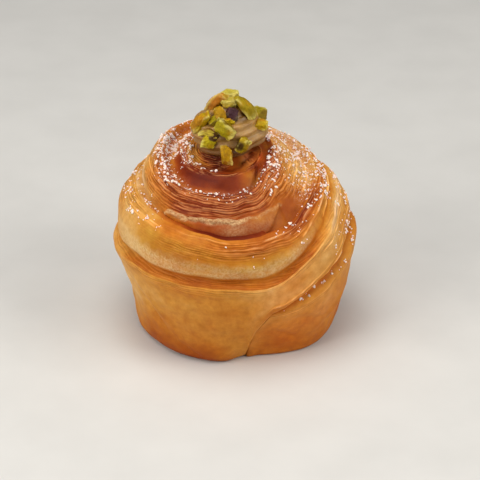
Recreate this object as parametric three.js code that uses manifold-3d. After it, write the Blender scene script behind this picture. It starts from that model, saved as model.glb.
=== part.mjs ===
// A cruffin: laminated dough coiled upwards in a deep muffin tin and baked, topped with a
// piped rosette of cream that carries chopped pistachios.
//
// Millimetres, +Z up. The origin is the middle of the flat base that the pastry stands on.
// An azimuth of 0 is the front (-Y), and azimuths grow anticlockwise seen from above.
// The dough is one long coil, so an azimuth past 360 degrees is the next turn up.

import * as THREE from 'three';
import { mergeVertices } from 'three/addons/utils/BufferGeometryUtils.js';
import Module from 'manifold-3d';

// Driving dimensions
const COIL_START = 7.5;       // azimuth where the outer end of the dough leaves the base
const TURNS = 5;              // turns of the coil, from the base edge to the apex
const NODE_GAP = 0.31;        // clear gap between the eye of the coil and the cream
const LAYER_RELIEF = 0.3;     // height of the laminated layers' edges
const CROWN_LEAN = { x: -2.2, y: 4, from: 45, to: 68 };   // the eye of the coil sits off centre
const EYE = 12;               // radius of the eye, smooth where the cream stands on it

// How finely the surface is divided
const SEAM_COLUMNS = 12;      // columns over the first SEAM_SPAN degrees, where the end of
const SEAM_SPAN = 48;         // the dough crosses the body
const PLAIN_COLUMNS = 43;     // columns over the rest of the turn
const ROWS = [2, 2, 3, 3, 4]; // rows between crest, groove, lip, belly, shoulder and crest
const ROSETTE_SIDES = 44;
const ROSETTE_ROWS = 22;
const WINDING_ROWS = ROWS.reduce((a, b) => a + b, 0);

// Where the flat base ends: azimuth, radius
const BASE_EDGE = [
  [7.5, 23.2], [14, 23.2], [22, 24], [30, 25.4], [40, 27.4], [50, 29.8], [64, 31.6],
  [80, 32.4], [90, 32.6], [180, 32], [255, 32.4], [275, 32.6], [289, 32], [304, 31.2],
  [323, 30.6], [335, 30.2], [344, 30], [350, 29.6], [355, 28.4], [360, 26.2], [367.5, 23.2],
];

// The crest of the coil, the outer folded edge of the dough: azimuth, radius, height
const CREST = [
  [7.5, 23.2, 0], [8.6, 29.5, 7], [11, 32.6, 12.6], [15.5, 35.2, 19], [20, 36.8, 23.2],
  [26, 38, 23.8], [33, 39, 24.4], [46, 40.6, 27.4], [56, 41.6, 30.4],
  [72, 43, 36.7], [93, 43.6, 40.8], [180, 42.6, 41], [225, 43.4, 38.5],
  [267, 44.7, 36.6], [313, 43, 37.6], [353, 41.4, 37.2], [374, 41, 36.2],
  [395, 40.5, 41.5], [414, 40.3, 48.5], [438, 37.2, 54], [494, 37.2, 56.3],
  [540, 38.5, 58], [585, 37.4, 57.5], [630, 34.6, 57], [685, 35.2, 55.5],
  [702, 35.8, 54.3], [720, 34.7, 53], [750, 33.6, 53.4], [776, 31.8, 57.5],
  [796, 31.3, 60], [830, 30.3, 62.4], [880, 29.6, 65.4], [935, 27, 69.2],
  [980, 24.5, 69.5], [1026, 26.1, 65], [1060, 23.9, 63], [1080, 23.6, 63],
  [1099, 23, 64.5], [1128, 17.5, 67.5], [1165, 15.3, 69.5], [1260, 15.5, 71],
  [1344, 15.1, 70], [1382, 16, 68], [1430, 15.8, 67.3], [1473, 13.2, 68],
  [1530, 10.5, 69.4], [1620, 8.5, 70], [1710, 6, 70.2], [1807.5, 0, 70.2],
];

// What the dough does on its way from one crest to the crest above it. For each turn of the
// lower crest: groove, lip, belly and shoulder, each as its share of the way and how far it
// stands out from the straight line between the crests.
const FOLD = [
  [-1, 0.04, 1.8, 0.1, 2.6, 0.5, 1.6, 0.78, 0.9],
  [-0.75, 0.04, 2.2, 0.1, 3, 0.5, 2.5, 0.78, 1.5],
  [-0.5, 0.04, 2.2, 0.1, 3, 0.5, 1.6, 0.78, 0.9],
  [-0.28, 0.04, 2, 0.1, 2.6, 0.5, 0.6, 0.78, 0.2],
  [-0.14, 0.04, 1.4, 0.1, 2, 0.5, 0.8, 0.78, 0.3],
  [-0.04, 0.04, 1.2, 0.1, 1.8, 0.5, 1.4, 0.78, 0.8],
  [0, 0.04, 1.5, 0.12, 2.4, 0.5, 2.4, 0.78, 1.2],
  [0.021, 0.05, 2.3, 0.14, 3.7, 0.5, 3.8, 0.78, 1.8],
  [0.0245, 0.04, 1.2, 0.12, 2.6, 0.5, 2.8, 0.78, 1.5],
  [0.032, 0.04, 0.2, 0.12, 1.6, 0.5, 2, 0.78, 1.2],
  [0.043, 0.04, -0.4, 0.11, 1.2, 0.5, 1.6, 0.78, 1],
  [0.055, 0.05, -0.7, 0.12, 1, 0.5, 1.4, 0.78, 0.95],
  [0.072, 0.1, -1.9, 0.19, 0.8, 0.5, 1.2, 0.78, 0.9],
  [0.092, 0.14, -2.1, 0.26, 0.5, 0.52, 1, 0.79, 0.7],
  [0.125, 0.16, -2.2, 0.3, 0.2, 0.55, 0.8, 0.8, 0.5],
  [0.25, 0.17, -2.5, 0.3, -0.5, 0.64, 0.8, 0.8, 0.6],
  [0.5, 0.12, -2.2, 0.25, 0.3, 0.5, 2.5, 0.8, 1.8],
  [0.75, 0.16, -1.7, 0.23, 0.5, 0.42, 2.8, 0.67, 3.3],
  [0.88, 0.13, -1.4, 0.21, 0.8, 0.45, 3.1, 0.7, 3.1],
  [1, 0.13, -1.4, 0.235, 0.9, 0.46, 3.3, 0.75, 2.6],
  [1.06, 0.14, -1.4, 0.255, 0.7, 0.5, 2.7, 0.77, 2],
  [1.125, 0.16, -1.5, 0.33, 0.1, 0.56, 1.5, 0.8, 1.1],
  [1.2, 0.2, -1.8, 0.42, -0.4, 0.64, 0.8, 0.82, 0.6],
  [1.25, 0.2, -2, 0.4, -0.7, 0.64, 0.3, 0.8, 0.5],
  [1.5, 0.15, -2.5, 0.3, -0.5, 0.5, 0.5, 0.8, 0.6],
  [1.75, 0.11, -1.9, 0.2, -0.6, 0.34, 0.2, 0.7, 1],
  [2, 0.07, -3.2, 0.25, -2.2, 0.46, -0.5, 0.84, 0.3],
  [2.25, 0.09, -3.2, 0.25, -2.4, 0.44, -1.6, 0.75, -0.2],
  [2.5, 0.12, -2.8, 0.3, -1.5, 0.5, -0.3, 0.8, 0.3],
  [2.75, 0.25, -3, 0.43, -4, 0.62, -2.6, 0.85, -0.6],
  [3, 0.05, -2.2, 0.15, -3.2, 0.57, -0.9, 0.82, 0.1],
  [3.25, 0.3, -1, 0.45, -1.2, 0.6, -1, 0.85, -0.3],
  [4, 0.2, -1.2, 0.35, -1.5, 0.6, -0.8, 0.85, -0.2],
  [5, 0.2, -1.2, 0.35, -1.5, 0.6, -0.8, 0.85, -0.2],
];
const FULL_FOLD = 12;         // folds get shallower where crests are closer than this

// Local forms on the coil: turn, its half length in turns, share of the way up to the next
// crest, its half width, and how far it stands out
const LOCAL_FORMS = [
  { turn: 1.98, reach: 0.17, up: 0.26, span: 0.22, out: 1 },      // loose flap of dough
  { turn: 2.2, reach: 0.06, up: 0.35, span: 0.4, out: -1.3 },     // pocket behind the flap
  { turn: -0.17, reach: 0.1, up: 0.55, span: 0.3, out: -0.7 },    // crease down the base
];

// The rosette of cream, a strand piped in a spiral: turns, middle radius, height of its
// middle above the foot, and the strand's own radius
const STRAND = [
  [-0.4, 6.0, 3.4, 4.0], [-0.2, 7.4, 4.2, 5.4], [0, 5.6, 4.7, 5.2], [0.14, 6.0, 5.6, 5.2],
  [0.25, 8.3, 6.2, 5.3], [0.5, 7.8, 6.4, 5.4], [0.77, 8.0, 6.8, 5.6], [1.0, 5.5, 8.2, 5.0],
  [1.25, 6.2, 9.6, 4.8], [1.5, 5.2, 10.8, 4.6], [2.0, 3.0, 13.0, 4.0], [2.5, 1.6, 14.2, 3.4],
  [3.0, 0.3, 15.2, 2.4],
];
const ROSETTE = {
  core: 7.4,                  // radius of the cream inside the spiral
  eye: 4,                     // height of the point that elevations are taken from
  lowest: -62,                // lowest elevation seen from there
  widest: 9,                  // furthest that the core reaches from there
};

// Chopped pistachios: azimuth and reach from the rosette's middle, height, length, width,
// thickness, azimuth that the broad face looks to, turn of the length from level
const PISTACHIOS = [
  [178, 3.6, 88.2, 6.6, 4.4, 4.8, 0, -4], [-84, 4.9, 88, 9.4, 4.2, 4.2, -15, -52],
  [-6, 2.2, 88.2, 5.4, 4, 4.8, 0, -8], [9, 5.4, 86.1, 4.4, 4.3, 4, 0, 12],
  [62, 6.6, 87.7, 10.8, 4, 4.4, 10, 50], [95, 10.4, 82.3, 5.4, 5, 4.8, 15, 12],
  [71, 11.7, 80.9, 5, 3.5, 3.8, 10, 4], [-61, 11.4, 82.9, 9.8, 4.4, 4, -25, -46],
  [-27, 7.3, 86.2, 5.6, 4, 4.2, 0, 76], [-33, 8.4, 83.7, 5, 4, 3.8, -10, -40],
  [-10, 10.2, 81.9, 7.6, 5, 4.6, 0, 38], [-37, 11.8, 80.3, 7.2, 2.8, 3.2, -20, 10],
  [-36, 12.3, 77.5, 5, 4.8, 4.4, -10, 10], [-1, 7.4, 83.9, 3.8, 2, 2.6, 0, 16],
  [23, 11.5, 76, 5.8, 4.4, 4.2, 15, -68], [-5, 12.2, 72.7, 6.8, 4, 3.8, 0, 84],
  [165, 7.6, 84, 6, 4.4, 4.2, 165, -20], [-165, 9, 81.8, 5.6, 4.4, 4.2, -160, 40],
  [-128, 10.9, 78.2, 6.4, 4.4, 4, -120, 10], [128, 12, 79, 5.4, 4.8, 4, 128, -30],
  [175, 13.2, 76.4, 6.6, 4.2, 3.8, 175, 60], [-27, 11.9, 79.3, 2.9, 2.4, 2.4, -10, 30],
];
const PISTACHIO_RADIUS = 0.56;
const PISTACHIO_ROUGHNESS = 0.12;

const wasm = await Module();
wasm.setup();

const radians = THREE.MathUtils.degToRad;

// Reads values between stations [at, value, ...] along a smooth curve that doesn't overshoot
function alongStations(stations) {
  const columns = stations[0].length - 1;
  const slopes = stations.map((station, i) => {
    const before = stations[i - 1];
    const after = stations[i + 1];
    return Array.from({ length: columns }, (_, c) => {
      const back = before && (station[c + 1] - before[c + 1]) / (station[0] - before[0]);
      const ahead = after && (after[c + 1] - station[c + 1]) / (after[0] - station[0]);
      if (!before) return ahead;
      if (!after) return back;
      if (back * ahead <= 0) return 0;
      const w1 = 2 * (after[0] - station[0]) + (station[0] - before[0]);
      const w2 = (after[0] - station[0]) + 2 * (station[0] - before[0]);
      return (w1 + w2) / (w1 / back + w2 / ahead);
    });
  });
  return (at) => {
    const last = stations.length - 2;
    let i = stations.findIndex((station, n) => n > 0 && at <= station[0]) - 1;
    i = i < 0 ? last : i;
    const span = stations[i + 1][0] - stations[i][0];
    const u = THREE.MathUtils.clamp((at - stations[i][0]) / span, 0, 1);
    return Array.from({ length: columns }, (_, c) => {
      const [a, b] = [stations[i][c + 1], stations[i + 1][c + 1]];
      const [ma, mb] = [slopes[i][c] * span, slopes[i + 1][c] * span];
      return a + u * ma + u * u * (3 * (b - a) - 2 * ma - mb)
        + u * u * u * (2 * (a - b) + ma + mb);
    });
  };
}

const crestAt = alongStations(CREST);
const foldAt = alongStations(FOLD);
const baseEdgeAt = alongStations(BASE_EDGE);
const strandAt = alongStations(STRAND);

// The same random numbers on every run
function randomSource(seed) {
  let state = seed;
  return () => {
    state = (state * 1664525 + 1013904223) % 4294967296;
    return state / 4294967296;
  };
}

function columnAzimuth(column) {
  if (column <= SEAM_COLUMNS) return COIL_START + (SEAM_SPAN * column) / SEAM_COLUMNS;
  const share = (column - SEAM_COLUMNS) / PLAIN_COLUMNS;
  return COIL_START + SEAM_SPAN + (360 - SEAM_SPAN) * share;
}

// How far the dough stands out at one place for the local forms
function localForm(turn, share) {
  return LOCAL_FORMS.reduce((sum, form) => {
    const along = (turn - form.turn) / form.reach;
    const up = (share - form.up) / form.span;
    const near = Math.max(0, 1 - along * along - up * up);
    return sum + form.out * near * near;
  }, 0);
}

// The control points from one crest to the next, in the upright plane of an azimuth. Points
// are (radius, 0, height).
function windingPoints(start, end, turn) {
  const [gAt, gOut, lAt, lOut, bAt, bOut, sAt, sOut] = foldAt(turn);
  const way = end.clone().sub(start);
  const length = way.length();
  const along = way.clone().normalize();
  const outward = new THREE.Vector3(along.z, 0, -along.x);
  const depth = Math.min(1, length / FULL_FOLD);
  return [[gAt, gOut], [lAt, lOut], [bAt, bOut], [sAt, sOut]].map(([share, out]) =>
    start.clone()
      .addScaledVector(way, share)
      .addScaledVector(outward, (out + localForm(turn, share)) * depth));
}

// One upright section of the pastry: every row's point, from the base edge to the apex
function sectionRows(azimuth) {
  const edge = new THREE.Vector3(baseEdgeAt(azimuth)[0], 0, 0);
  const crests = [edge];
  for (let turn = 0; turn < TURNS; turn++) {
    const [radius, height] = crestAt(azimuth + 360 * turn);
    crests.push(new THREE.Vector3(radius, 0, height));
  }
  crests.push(new THREE.Vector3(0, 0, CREST.at(-1)[2]));
  const first = azimuth === COIL_START ? 1 : 0;
  const control = [edge];
  for (let k = first; k <= TURNS; k++) {
    const turn = azimuth / 360 + k - 1;
    control.push(...windingPoints(crests[k], crests[k + 1], turn), crests[k + 1]);
  }
  const curve = new THREE.CatmullRomCurve3(control, false, 'centripetal');
  const pieces = control.length - 1;
  const rows = Array.from({ length: first * WINDING_ROWS }, () => edge);
  for (let piece = 0; piece < pieces; piece++) {
    const count = ROWS[piece % ROWS.length];
    for (let row = 0; row < count; row++) {
      rows.push(curve.getPoint((piece + row / count) / pieces));
    }
  }
  rows.push(control.at(-1));
  return rows;
}

// The layers' edges run along the coil as fine ridges, on all of a winding but its groove
function addLayers(rows) {
  return rows.map((point, row) => {
    const inWinding = row % WINDING_ROWS;
    const plain = row < 2 * WINDING_ROWS || inWinding < ROWS[0] + ROWS[1];
    if (plain || point.x < EYE) return point;
    const slope = rows[row + 1].clone().sub(rows[row - 1]).normalize();
    const side = inWinding % 2 ? LAYER_RELIEF : -LAYER_RELIEF;
    return point.clone().add(new THREE.Vector3(slope.z * side, 0, -slope.x * side));
  });
}

function crownLean(height) {
  return THREE.MathUtils.smoothstep(height, CROWN_LEAN.from, CROWN_LEAN.to);
}

function placed(point, azimuth) {
  const lean = crownLean(point.z);
  const height = Math.max(0, point.z);
  return [
    point.x * Math.sin(radians(azimuth)) + CROWN_LEAN.x * lean,
    -point.x * Math.cos(radians(azimuth)) + CROWN_LEAN.y * lean,
    height,
  ];
}

// The coil as one closed surface. A row that runs once round arrives one winding higher, so
// the last column is the first one again, shifted up by a winding.
function coilGeometry() {
  const columns = SEAM_COLUMNS + PLAIN_COLUMNS;
  const topRow = WINDING_ROWS * (TURNS + 1);
  const positions = [];
  const number = [];
  for (let column = 0; column < columns; column++) {
    const azimuth = columnAzimuth(column);
    const rows = addLayers(sectionRows(azimuth));
    number.push(rows.map((point, row) => {
      const onEnd = column === 0 && row > 0 && row <= WINDING_ROWS;
      if (!onEnd && !(row === topRow && column > 0)) positions.push(...placed(point, azimuth));
      if (onEnd) return 0;
      return row === topRow && column > 0 ? topRow - WINDING_ROWS : positions.length / 3 - 1;
    }));
  }
  const middle = positions.length / 3;
  positions.push(0, 0, 0);
  const vertex = (column, row) =>
    (column < columns ? number[column][row]
      : number[0][Math.min(row + WINDING_ROWS, topRow)]);
  const index = [];
  const face = (a, b, c) => {
    if (a !== b && b !== c && c !== a) index.push(a, b, c);
  };
  for (let column = 0; column < columns; column++) {
    for (let row = 0; row < topRow; row++) {
      const [a, b] = [vertex(column, row), vertex(column + 1, row)];
      const [c, d] = [vertex(column + 1, row + 1), vertex(column, row + 1)];
      face(a, b, c);
      face(a, c, d);
    }
    face(middle, vertex(column + 1, 0), vertex(column, 0));
  }
  const geometry = new THREE.BufferGeometry();
  geometry.setAttribute('position', new THREE.Float32BufferAttribute(positions, 3));
  geometry.setIndex(index);
  return geometry;
}

// A bare closed mesh: shared vertices, positions only
function bare(geometry) {
  geometry.deleteAttribute('normal');
  geometry.deleteAttribute('uv');
  return mergeVertices(geometry, 1e-4);
}

function toSolid(geometry) {
  return new wasm.Manifold(new wasm.Mesh({
    numProp: 3,
    vertProperties: Float32Array.from(geometry.attributes.position.array),
    triVerts: Uint32Array.from(geometry.index.array),
  }));
}

function toGeometry(solid) {
  const mesh = solid.getMesh();
  const geometry = new THREE.BufferGeometry();
  geometry.setAttribute('position', new THREE.BufferAttribute(mesh.vertProperties, 3));
  geometry.setIndex(new THREE.BufferAttribute(mesh.triVerts, 1));
  return geometry;
}

// Distance from the rosette's eye to its surface in one direction: the furthest that any
// turn of the strand reaches there
function rosetteReach(azimuth, elevation) {
  const [cos, sin] = [Math.cos(elevation), Math.sin(elevation)];
  let reach = Math.min(ROSETTE.core / cos, ROSETTE.widest);
  const [first, last] = [STRAND[0][0], STRAND.at(-1)[0]];
  for (let turns = azimuth / (2 * Math.PI) - 1; turns <= last; turns++) {
    if (turns < first) continue;
    const [radius, height, thick] = strandAt(turns);
    for (const middle of [radius, -radius]) {
      const rise = height - ROSETTE.eye;
      const across = middle * cos + rise * sin;
      const clear = middle * middle + rise * rise - across * across;
      if (clear >= thick * thick) continue;
      reach = Math.max(reach, across + Math.sqrt(thick * thick - clear));
    }
  }
  return reach;
}

// The rosette of cream stands on a flat foot
function rosetteGeometry() {
  const positions = [0, 0, 0];
  const lowest = radians(ROSETTE.lowest);
  for (let row = 0; row < ROSETTE_ROWS; row++) {
    const elevation = lowest + ((Math.PI / 2 - lowest) * row) / ROSETTE_ROWS;
    for (let side = 0; side < ROSETTE_SIDES; side++) {
      const azimuth = (2 * Math.PI * side) / ROSETTE_SIDES;
      const reach = rosetteReach(azimuth, elevation);
      const out = reach * Math.cos(elevation);
      const up = Math.max(0, ROSETTE.eye + reach * Math.sin(elevation));
      positions.push(out * Math.sin(azimuth), -out * Math.cos(azimuth), up);
    }
  }
  positions.push(0, 0, ROSETTE.eye + rosetteReach(0, Math.PI / 2));
  const top = positions.length / 3 - 1;
  const index = [];
  for (let side = 0; side < ROSETTE_SIDES; side++) {
    const next = (side + 1) % ROSETTE_SIDES;
    index.push(0, 1 + next, 1 + side);
    for (let row = 0; row < ROSETTE_ROWS - 1; row++) {
      const [low, high] = [1 + row * ROSETTE_SIDES, 1 + (row + 1) * ROSETTE_SIDES];
      index.push(low + side, low + next, high + next, low + side, high + next, high + side);
    }
    const last = 1 + (ROSETTE_ROWS - 1) * ROSETTE_SIDES;
    index.push(last + side, last + next, top);
  }
  const geometry = new THREE.BufferGeometry();
  geometry.setAttribute('position', new THREE.Float32BufferAttribute(positions, 3));
  geometry.setIndex(index);
  geometry.translate(CROWN_LEAN.x, CROWN_LEAN.y, CREST.at(-1)[2] + NODE_GAP);
  return geometry;
}

function pistachioGeometry(nut, random) {
  const [azimuth, reach, height, length, width, thick, facing, turn] = nut;
  const geometry = bare(new THREE.DodecahedronGeometry(PISTACHIO_RADIUS));
  const place = geometry.attributes.position;
  for (let i = 0; i < place.count; i++) {
    const rough = () => 1 + PISTACHIO_ROUGHNESS * (2 * random() - 1);
    place.setXYZ(i, place.getX(i) * rough(), place.getY(i) * rough(), place.getZ(i) * rough());
  }
  geometry.scale(length, thick, width);
  geometry.rotateY(radians(turn));
  geometry.rotateZ(radians(facing));
  geometry.translate(
    CROWN_LEAN.x + reach * Math.sin(radians(azimuth)),
    CROWN_LEAN.y - reach * Math.cos(radians(azimuth)),
    height,
  );
  return geometry;
}

// The cream and the pistachios pressed into it are one solid, which rests on the flat eye
// of the coil and hangs clear of the turns round it. Only its outer skin is kept, so that a
// hollow closed in between pistachios is filled.
function creamGeometry() {
  const random = randomSource(7);
  let solid = toSolid(rosetteGeometry());
  PISTACHIOS.forEach((nut) => {
    solid = solid.add(toSolid(pistachioGeometry(nut, random)));
  });
  const skins = solid.decompose();
  skins.sort((a, b) => b.volume() - a.volume());
  return toGeometry(skins[0]);
}

function pastry() {
  const crust = new THREE.MeshStandardMaterial({
    color: 0xc0813c, roughness: 0.5, metalness: 0, flatShading: true,
  });
  const mesh = new THREE.Mesh(coilGeometry(), crust);
  mesh.name = 'pastry';
  return mesh;
}

function cream() {
  const filling = new THREE.MeshStandardMaterial({
    color: 0x9a8a38, roughness: 0.45, metalness: 0, flatShading: true,
  });
  const mesh = new THREE.Mesh(creamGeometry(), filling);
  mesh.name = 'cream';
  return mesh;
}

const cruffin = new THREE.Group();
cruffin.add(pastry(), cream());

export default cruffin;
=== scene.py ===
import math

import bpy
import numpy as np
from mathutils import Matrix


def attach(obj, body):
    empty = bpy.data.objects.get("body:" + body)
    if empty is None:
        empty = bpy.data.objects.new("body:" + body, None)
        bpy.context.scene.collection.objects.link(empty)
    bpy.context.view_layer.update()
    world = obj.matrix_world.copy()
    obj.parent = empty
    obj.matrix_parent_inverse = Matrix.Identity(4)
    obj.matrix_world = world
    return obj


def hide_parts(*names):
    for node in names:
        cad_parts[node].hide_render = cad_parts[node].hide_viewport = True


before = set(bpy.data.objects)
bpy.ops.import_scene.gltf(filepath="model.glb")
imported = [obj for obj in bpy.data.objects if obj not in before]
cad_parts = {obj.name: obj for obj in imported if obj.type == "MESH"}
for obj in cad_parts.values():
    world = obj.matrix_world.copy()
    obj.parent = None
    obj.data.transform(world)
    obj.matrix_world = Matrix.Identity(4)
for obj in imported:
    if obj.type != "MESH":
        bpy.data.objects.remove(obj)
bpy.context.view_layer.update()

# A cruffin: laminated dough coiled upwards and baked, a piped rosette of cream on its eye,
# chopped pistachios on the cream and icing sugar on the crests.
# Forms are worked out in millimetres and placed in metres. An azimuth of 0 is the front
# (-Y), azimuths grow anticlockwise seen from above, and past 360 degrees lies the next turn.

MM = 0.001

# The coil of dough
COIL_START = 7.5              # azimuth where the outer end of the dough leaves the base
TURNS = 5                     # turns of the coil, from the base edge to the apex
CROWN_LEAN = (-2.2, 4.0)      # how far the eye of the coil sits off centre
LEAN_FROM, LEAN_TO = 45.0, 68.0
COIL_COLUMNS = 240            # columns round the coil
COIL_ROWS = (7, 8, 16, 18, 18)   # rows from crest to groove, lip, belly, shoulder, next crest
WINDING_ROWS = sum(COIL_ROWS)
FULL_FOLD = 12.0              # folds get shallower where crests are closer than this
COIL_LENGTH_PER_TURN = 200.0  # length that one turn takes up in the coil's own map
MEETS = 1e-4                  # two points this near to one another are one
SEAM_GAP = 2e-6               # the same for the vertices of a finished surface, in metres
RELIEF_FROM = (0.2, 3.0)      # heights where the relief begins and where it is full

# Where the flat base ends: azimuth, radius
BASE_EDGE = (
    (7.5, 23.2), (14, 23.2), (22, 24), (30, 25.4), (40, 27.4), (50, 29.8), (64, 31.6),
    (80, 32.4), (90, 32.6), (180, 32), (255, 32.4), (275, 32.6), (289, 32), (304, 31.2),
    (323, 30.6), (335, 30.2), (344, 30), (350, 29.6), (355, 28.4), (360, 26.2), (367.5, 23.2),
)

# The crest of the coil, the outer folded edge of the dough: azimuth, radius, height
CREST = (
    (7.5, 23.2, 0), (8.6, 29.5, 7), (11, 32.6, 12.6), (15.5, 35.2, 19), (20, 36.8, 23.2),
    (26, 38, 23.8), (33, 39, 24.4), (46, 40.6, 27.4), (56, 41.6, 30.4),
    (72, 43, 36.7), (93, 43.6, 40.8), (180, 42.6, 41), (225, 43.4, 38.5),
    (267, 44.7, 36.6), (313, 43, 37.6), (353, 41.4, 37.2), (374, 41, 36.2),
    (395, 40.5, 41.5), (414, 40.3, 48.5), (438, 37.2, 54), (494, 37.2, 56.3),
    (540, 38.5, 58), (585, 37.4, 57.5), (630, 34.6, 57), (685, 35.2, 55.5),
    (702, 35.8, 54.3), (720, 34.7, 53), (750, 33.6, 53.4), (776, 31.8, 57.5),
    (796, 31.3, 60), (830, 30.3, 62.4), (880, 29.6, 65.4), (935, 27, 69.2),
    (980, 24.5, 69.5), (1026, 26.1, 65), (1060, 23.9, 63), (1080, 23.6, 63),
    (1099, 23, 64.5), (1128, 17.5, 67.5), (1165, 15.3, 69.5), (1260, 15.5, 71),
    (1344, 15.1, 70), (1382, 16, 68), (1430, 15.8, 67.3), (1473, 13.2, 68),
    (1530, 10.5, 69.4), (1620, 8.5, 70), (1710, 6, 70.2), (1807.5, 0, 70.2),
)

# What the dough does on its way from one crest to the crest above it. For each turn of the
# lower crest: groove, lip, belly and shoulder, each as its share of the way and how far it
# stands out from the straight line between the crests.
FOLD = (
    (-1, 0.04, 1.8, 0.1, 2.6, 0.5, 1.6, 0.78, 0.9),
    (-0.75, 0.04, 2.2, 0.1, 3, 0.5, 2.5, 0.78, 1.5),
    (-0.5, 0.04, 2.2, 0.1, 3, 0.5, 1.6, 0.78, 0.9),
    (-0.28, 0.04, 2, 0.1, 2.6, 0.5, 0.6, 0.78, 0.2),
    (-0.14, 0.04, 1.4, 0.1, 2, 0.5, 0.8, 0.78, 0.3),
    (-0.04, 0.04, 1.2, 0.1, 1.8, 0.5, 1.4, 0.78, 0.8),
    (0, 0.04, 1.5, 0.12, 2.4, 0.5, 2.4, 0.78, 1.2),
    (0.021, 0.05, 2.3, 0.14, 3.7, 0.5, 3.8, 0.78, 1.8),
    (0.0245, 0.04, 1.2, 0.12, 2.6, 0.5, 2.8, 0.78, 1.5),
    (0.032, 0.04, 0.2, 0.12, 1.6, 0.5, 2, 0.78, 1.2),
    (0.043, 0.04, -0.4, 0.11, 1.2, 0.5, 1.6, 0.78, 1),
    (0.055, 0.05, -0.7, 0.12, 1, 0.5, 1.4, 0.78, 0.95),
    (0.072, 0.1, -1.9, 0.19, 0.8, 0.5, 1.2, 0.78, 0.9),
    (0.092, 0.14, -2.1, 0.26, 0.5, 0.52, 1, 0.79, 0.7),
    (0.125, 0.16, -2.2, 0.3, 0.2, 0.55, 0.8, 0.8, 0.5),
    (0.25, 0.17, -2.5, 0.3, -0.5, 0.64, 0.8, 0.8, 0.6),
    (0.5, 0.12, -2.2, 0.25, 0.3, 0.5, 2.5, 0.8, 1.8),
    (0.75, 0.16, -1.7, 0.23, 0.5, 0.42, 2.8, 0.67, 3.3),
    (0.88, 0.13, -1.4, 0.21, 0.8, 0.45, 3.1, 0.7, 3.1),
    (1, 0.13, -1.4, 0.235, 0.9, 0.46, 3.3, 0.75, 2.6),
    (1.06, 0.14, -1.4, 0.255, 0.7, 0.5, 2.7, 0.77, 2),
    (1.125, 0.16, -1.5, 0.33, 0.1, 0.56, 1.5, 0.8, 1.1),
    (1.2, 0.2, -1.8, 0.42, -0.4, 0.64, 0.8, 0.82, 0.6),
    (1.25, 0.2, -2, 0.4, -0.7, 0.64, 0.3, 0.8, 0.5),
    (1.5, 0.15, -2.5, 0.3, -0.5, 0.5, 0.5, 0.8, 0.6),
    (1.75, 0.11, -1.9, 0.2, -0.6, 0.34, 0.2, 0.7, 1),
    (2, 0.07, -3.2, 0.25, -2.2, 0.46, -0.5, 0.84, 0.3),
    (2.25, 0.09, -3.2, 0.25, -2.4, 0.44, -1.6, 0.75, -0.2),
    (2.5, 0.12, -2.8, 0.3, -1.5, 0.5, -0.3, 0.8, 0.3),
    (2.75, 0.25, -3, 0.43, -4, 0.62, -2.6, 0.85, -0.6),
    (3, 0.05, -2.2, 0.15, -3.2, 0.57, -0.9, 0.82, 0.1),
    (3.25, 0.3, -1, 0.45, -1.2, 0.6, -1, 0.85, -0.3),
    (4, 0.2, -1.2, 0.35, -1.5, 0.6, -0.8, 0.85, -0.2),
    (5, 0.2, -1.2, 0.35, -1.5, 0.6, -0.8, 0.85, -0.2),
)

# Stretches, in turns or in shares of the way up: start, full, where they begin to fade, end
RAGGED = (0.06, 0.12, 3.2, 3.6)           # the crests and lips that are uneven
BAND_LAYERS = (0.7, 0.8, 1.04, 1.12)      # front band, whose layers show in patches
BAND_RECESS = (0.7, 0.8, 1.2, 1.3)        # layers that show in the groove under the band
BAND_CREST = (0.82, 0.88, 1.08, 1.13)     # plain edge of the band's crest
BAND_GROOVE = (0.75, 0.85, 1.2, 1.3)      # groove that gets no painted shade
BAND_FLOUR = (0.76, 0.84, 1.08, 1.16)     # flour on the band
BAND_TINTED, BAND_TINTED_UP = (0.83, 0.88, 1.05, 1.1), (0.36, 0.46, 0.7, 0.84)   # its tint
FLAP_SPAN = (1.852, 1.868, 2.114, 2.122)  # loose flap of dough
POCKET_SPAN, POCKET_UP = (2.104, 2.112, 2.15, 2.18), (0.04, 0.14, 0.57, 0.63)
POCKET_DEPTH = 0.7                        # depth of the hollow beyond the flap
FLAP_RISE = 1.3                           # how far the flap stands off the dough behind it
FLAP_CRUMPLED = (0.05, 0.06)              # its crumples: share below its rim, half width
FLAP_CRUMPLED_TO = (2.03, 1.99)           # turns where they end and where they are full

# Unevenness along the coil, each part with its size, waves to the turn and seed
CREST_WAVES = (((0.4, 30, 71), (0.2, 75, 72)), ((0.4, 26, 73), (0.2, 70, 74)))   # radius, height
LIP_WAVES = ((0.3, 36, 75), (0.16, 90, 76))
LIP_SHIFT = 0.02              # share of the way that such a wave of 1 moves the lip upwards

# Local forms: turn, half length in turns, share of the way up, half width, how far out
LOCAL_FORMS = (
    (1.98, 0.17, 0.26, 0.22, 1.0),     # loose flap of dough
    (2.2, 0.06, 0.35, 0.4, -1.3),      # pocket behind the flap
    (-0.17, 0.1, 0.55, 0.3, -0.7),     # crease down the base
)

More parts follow.
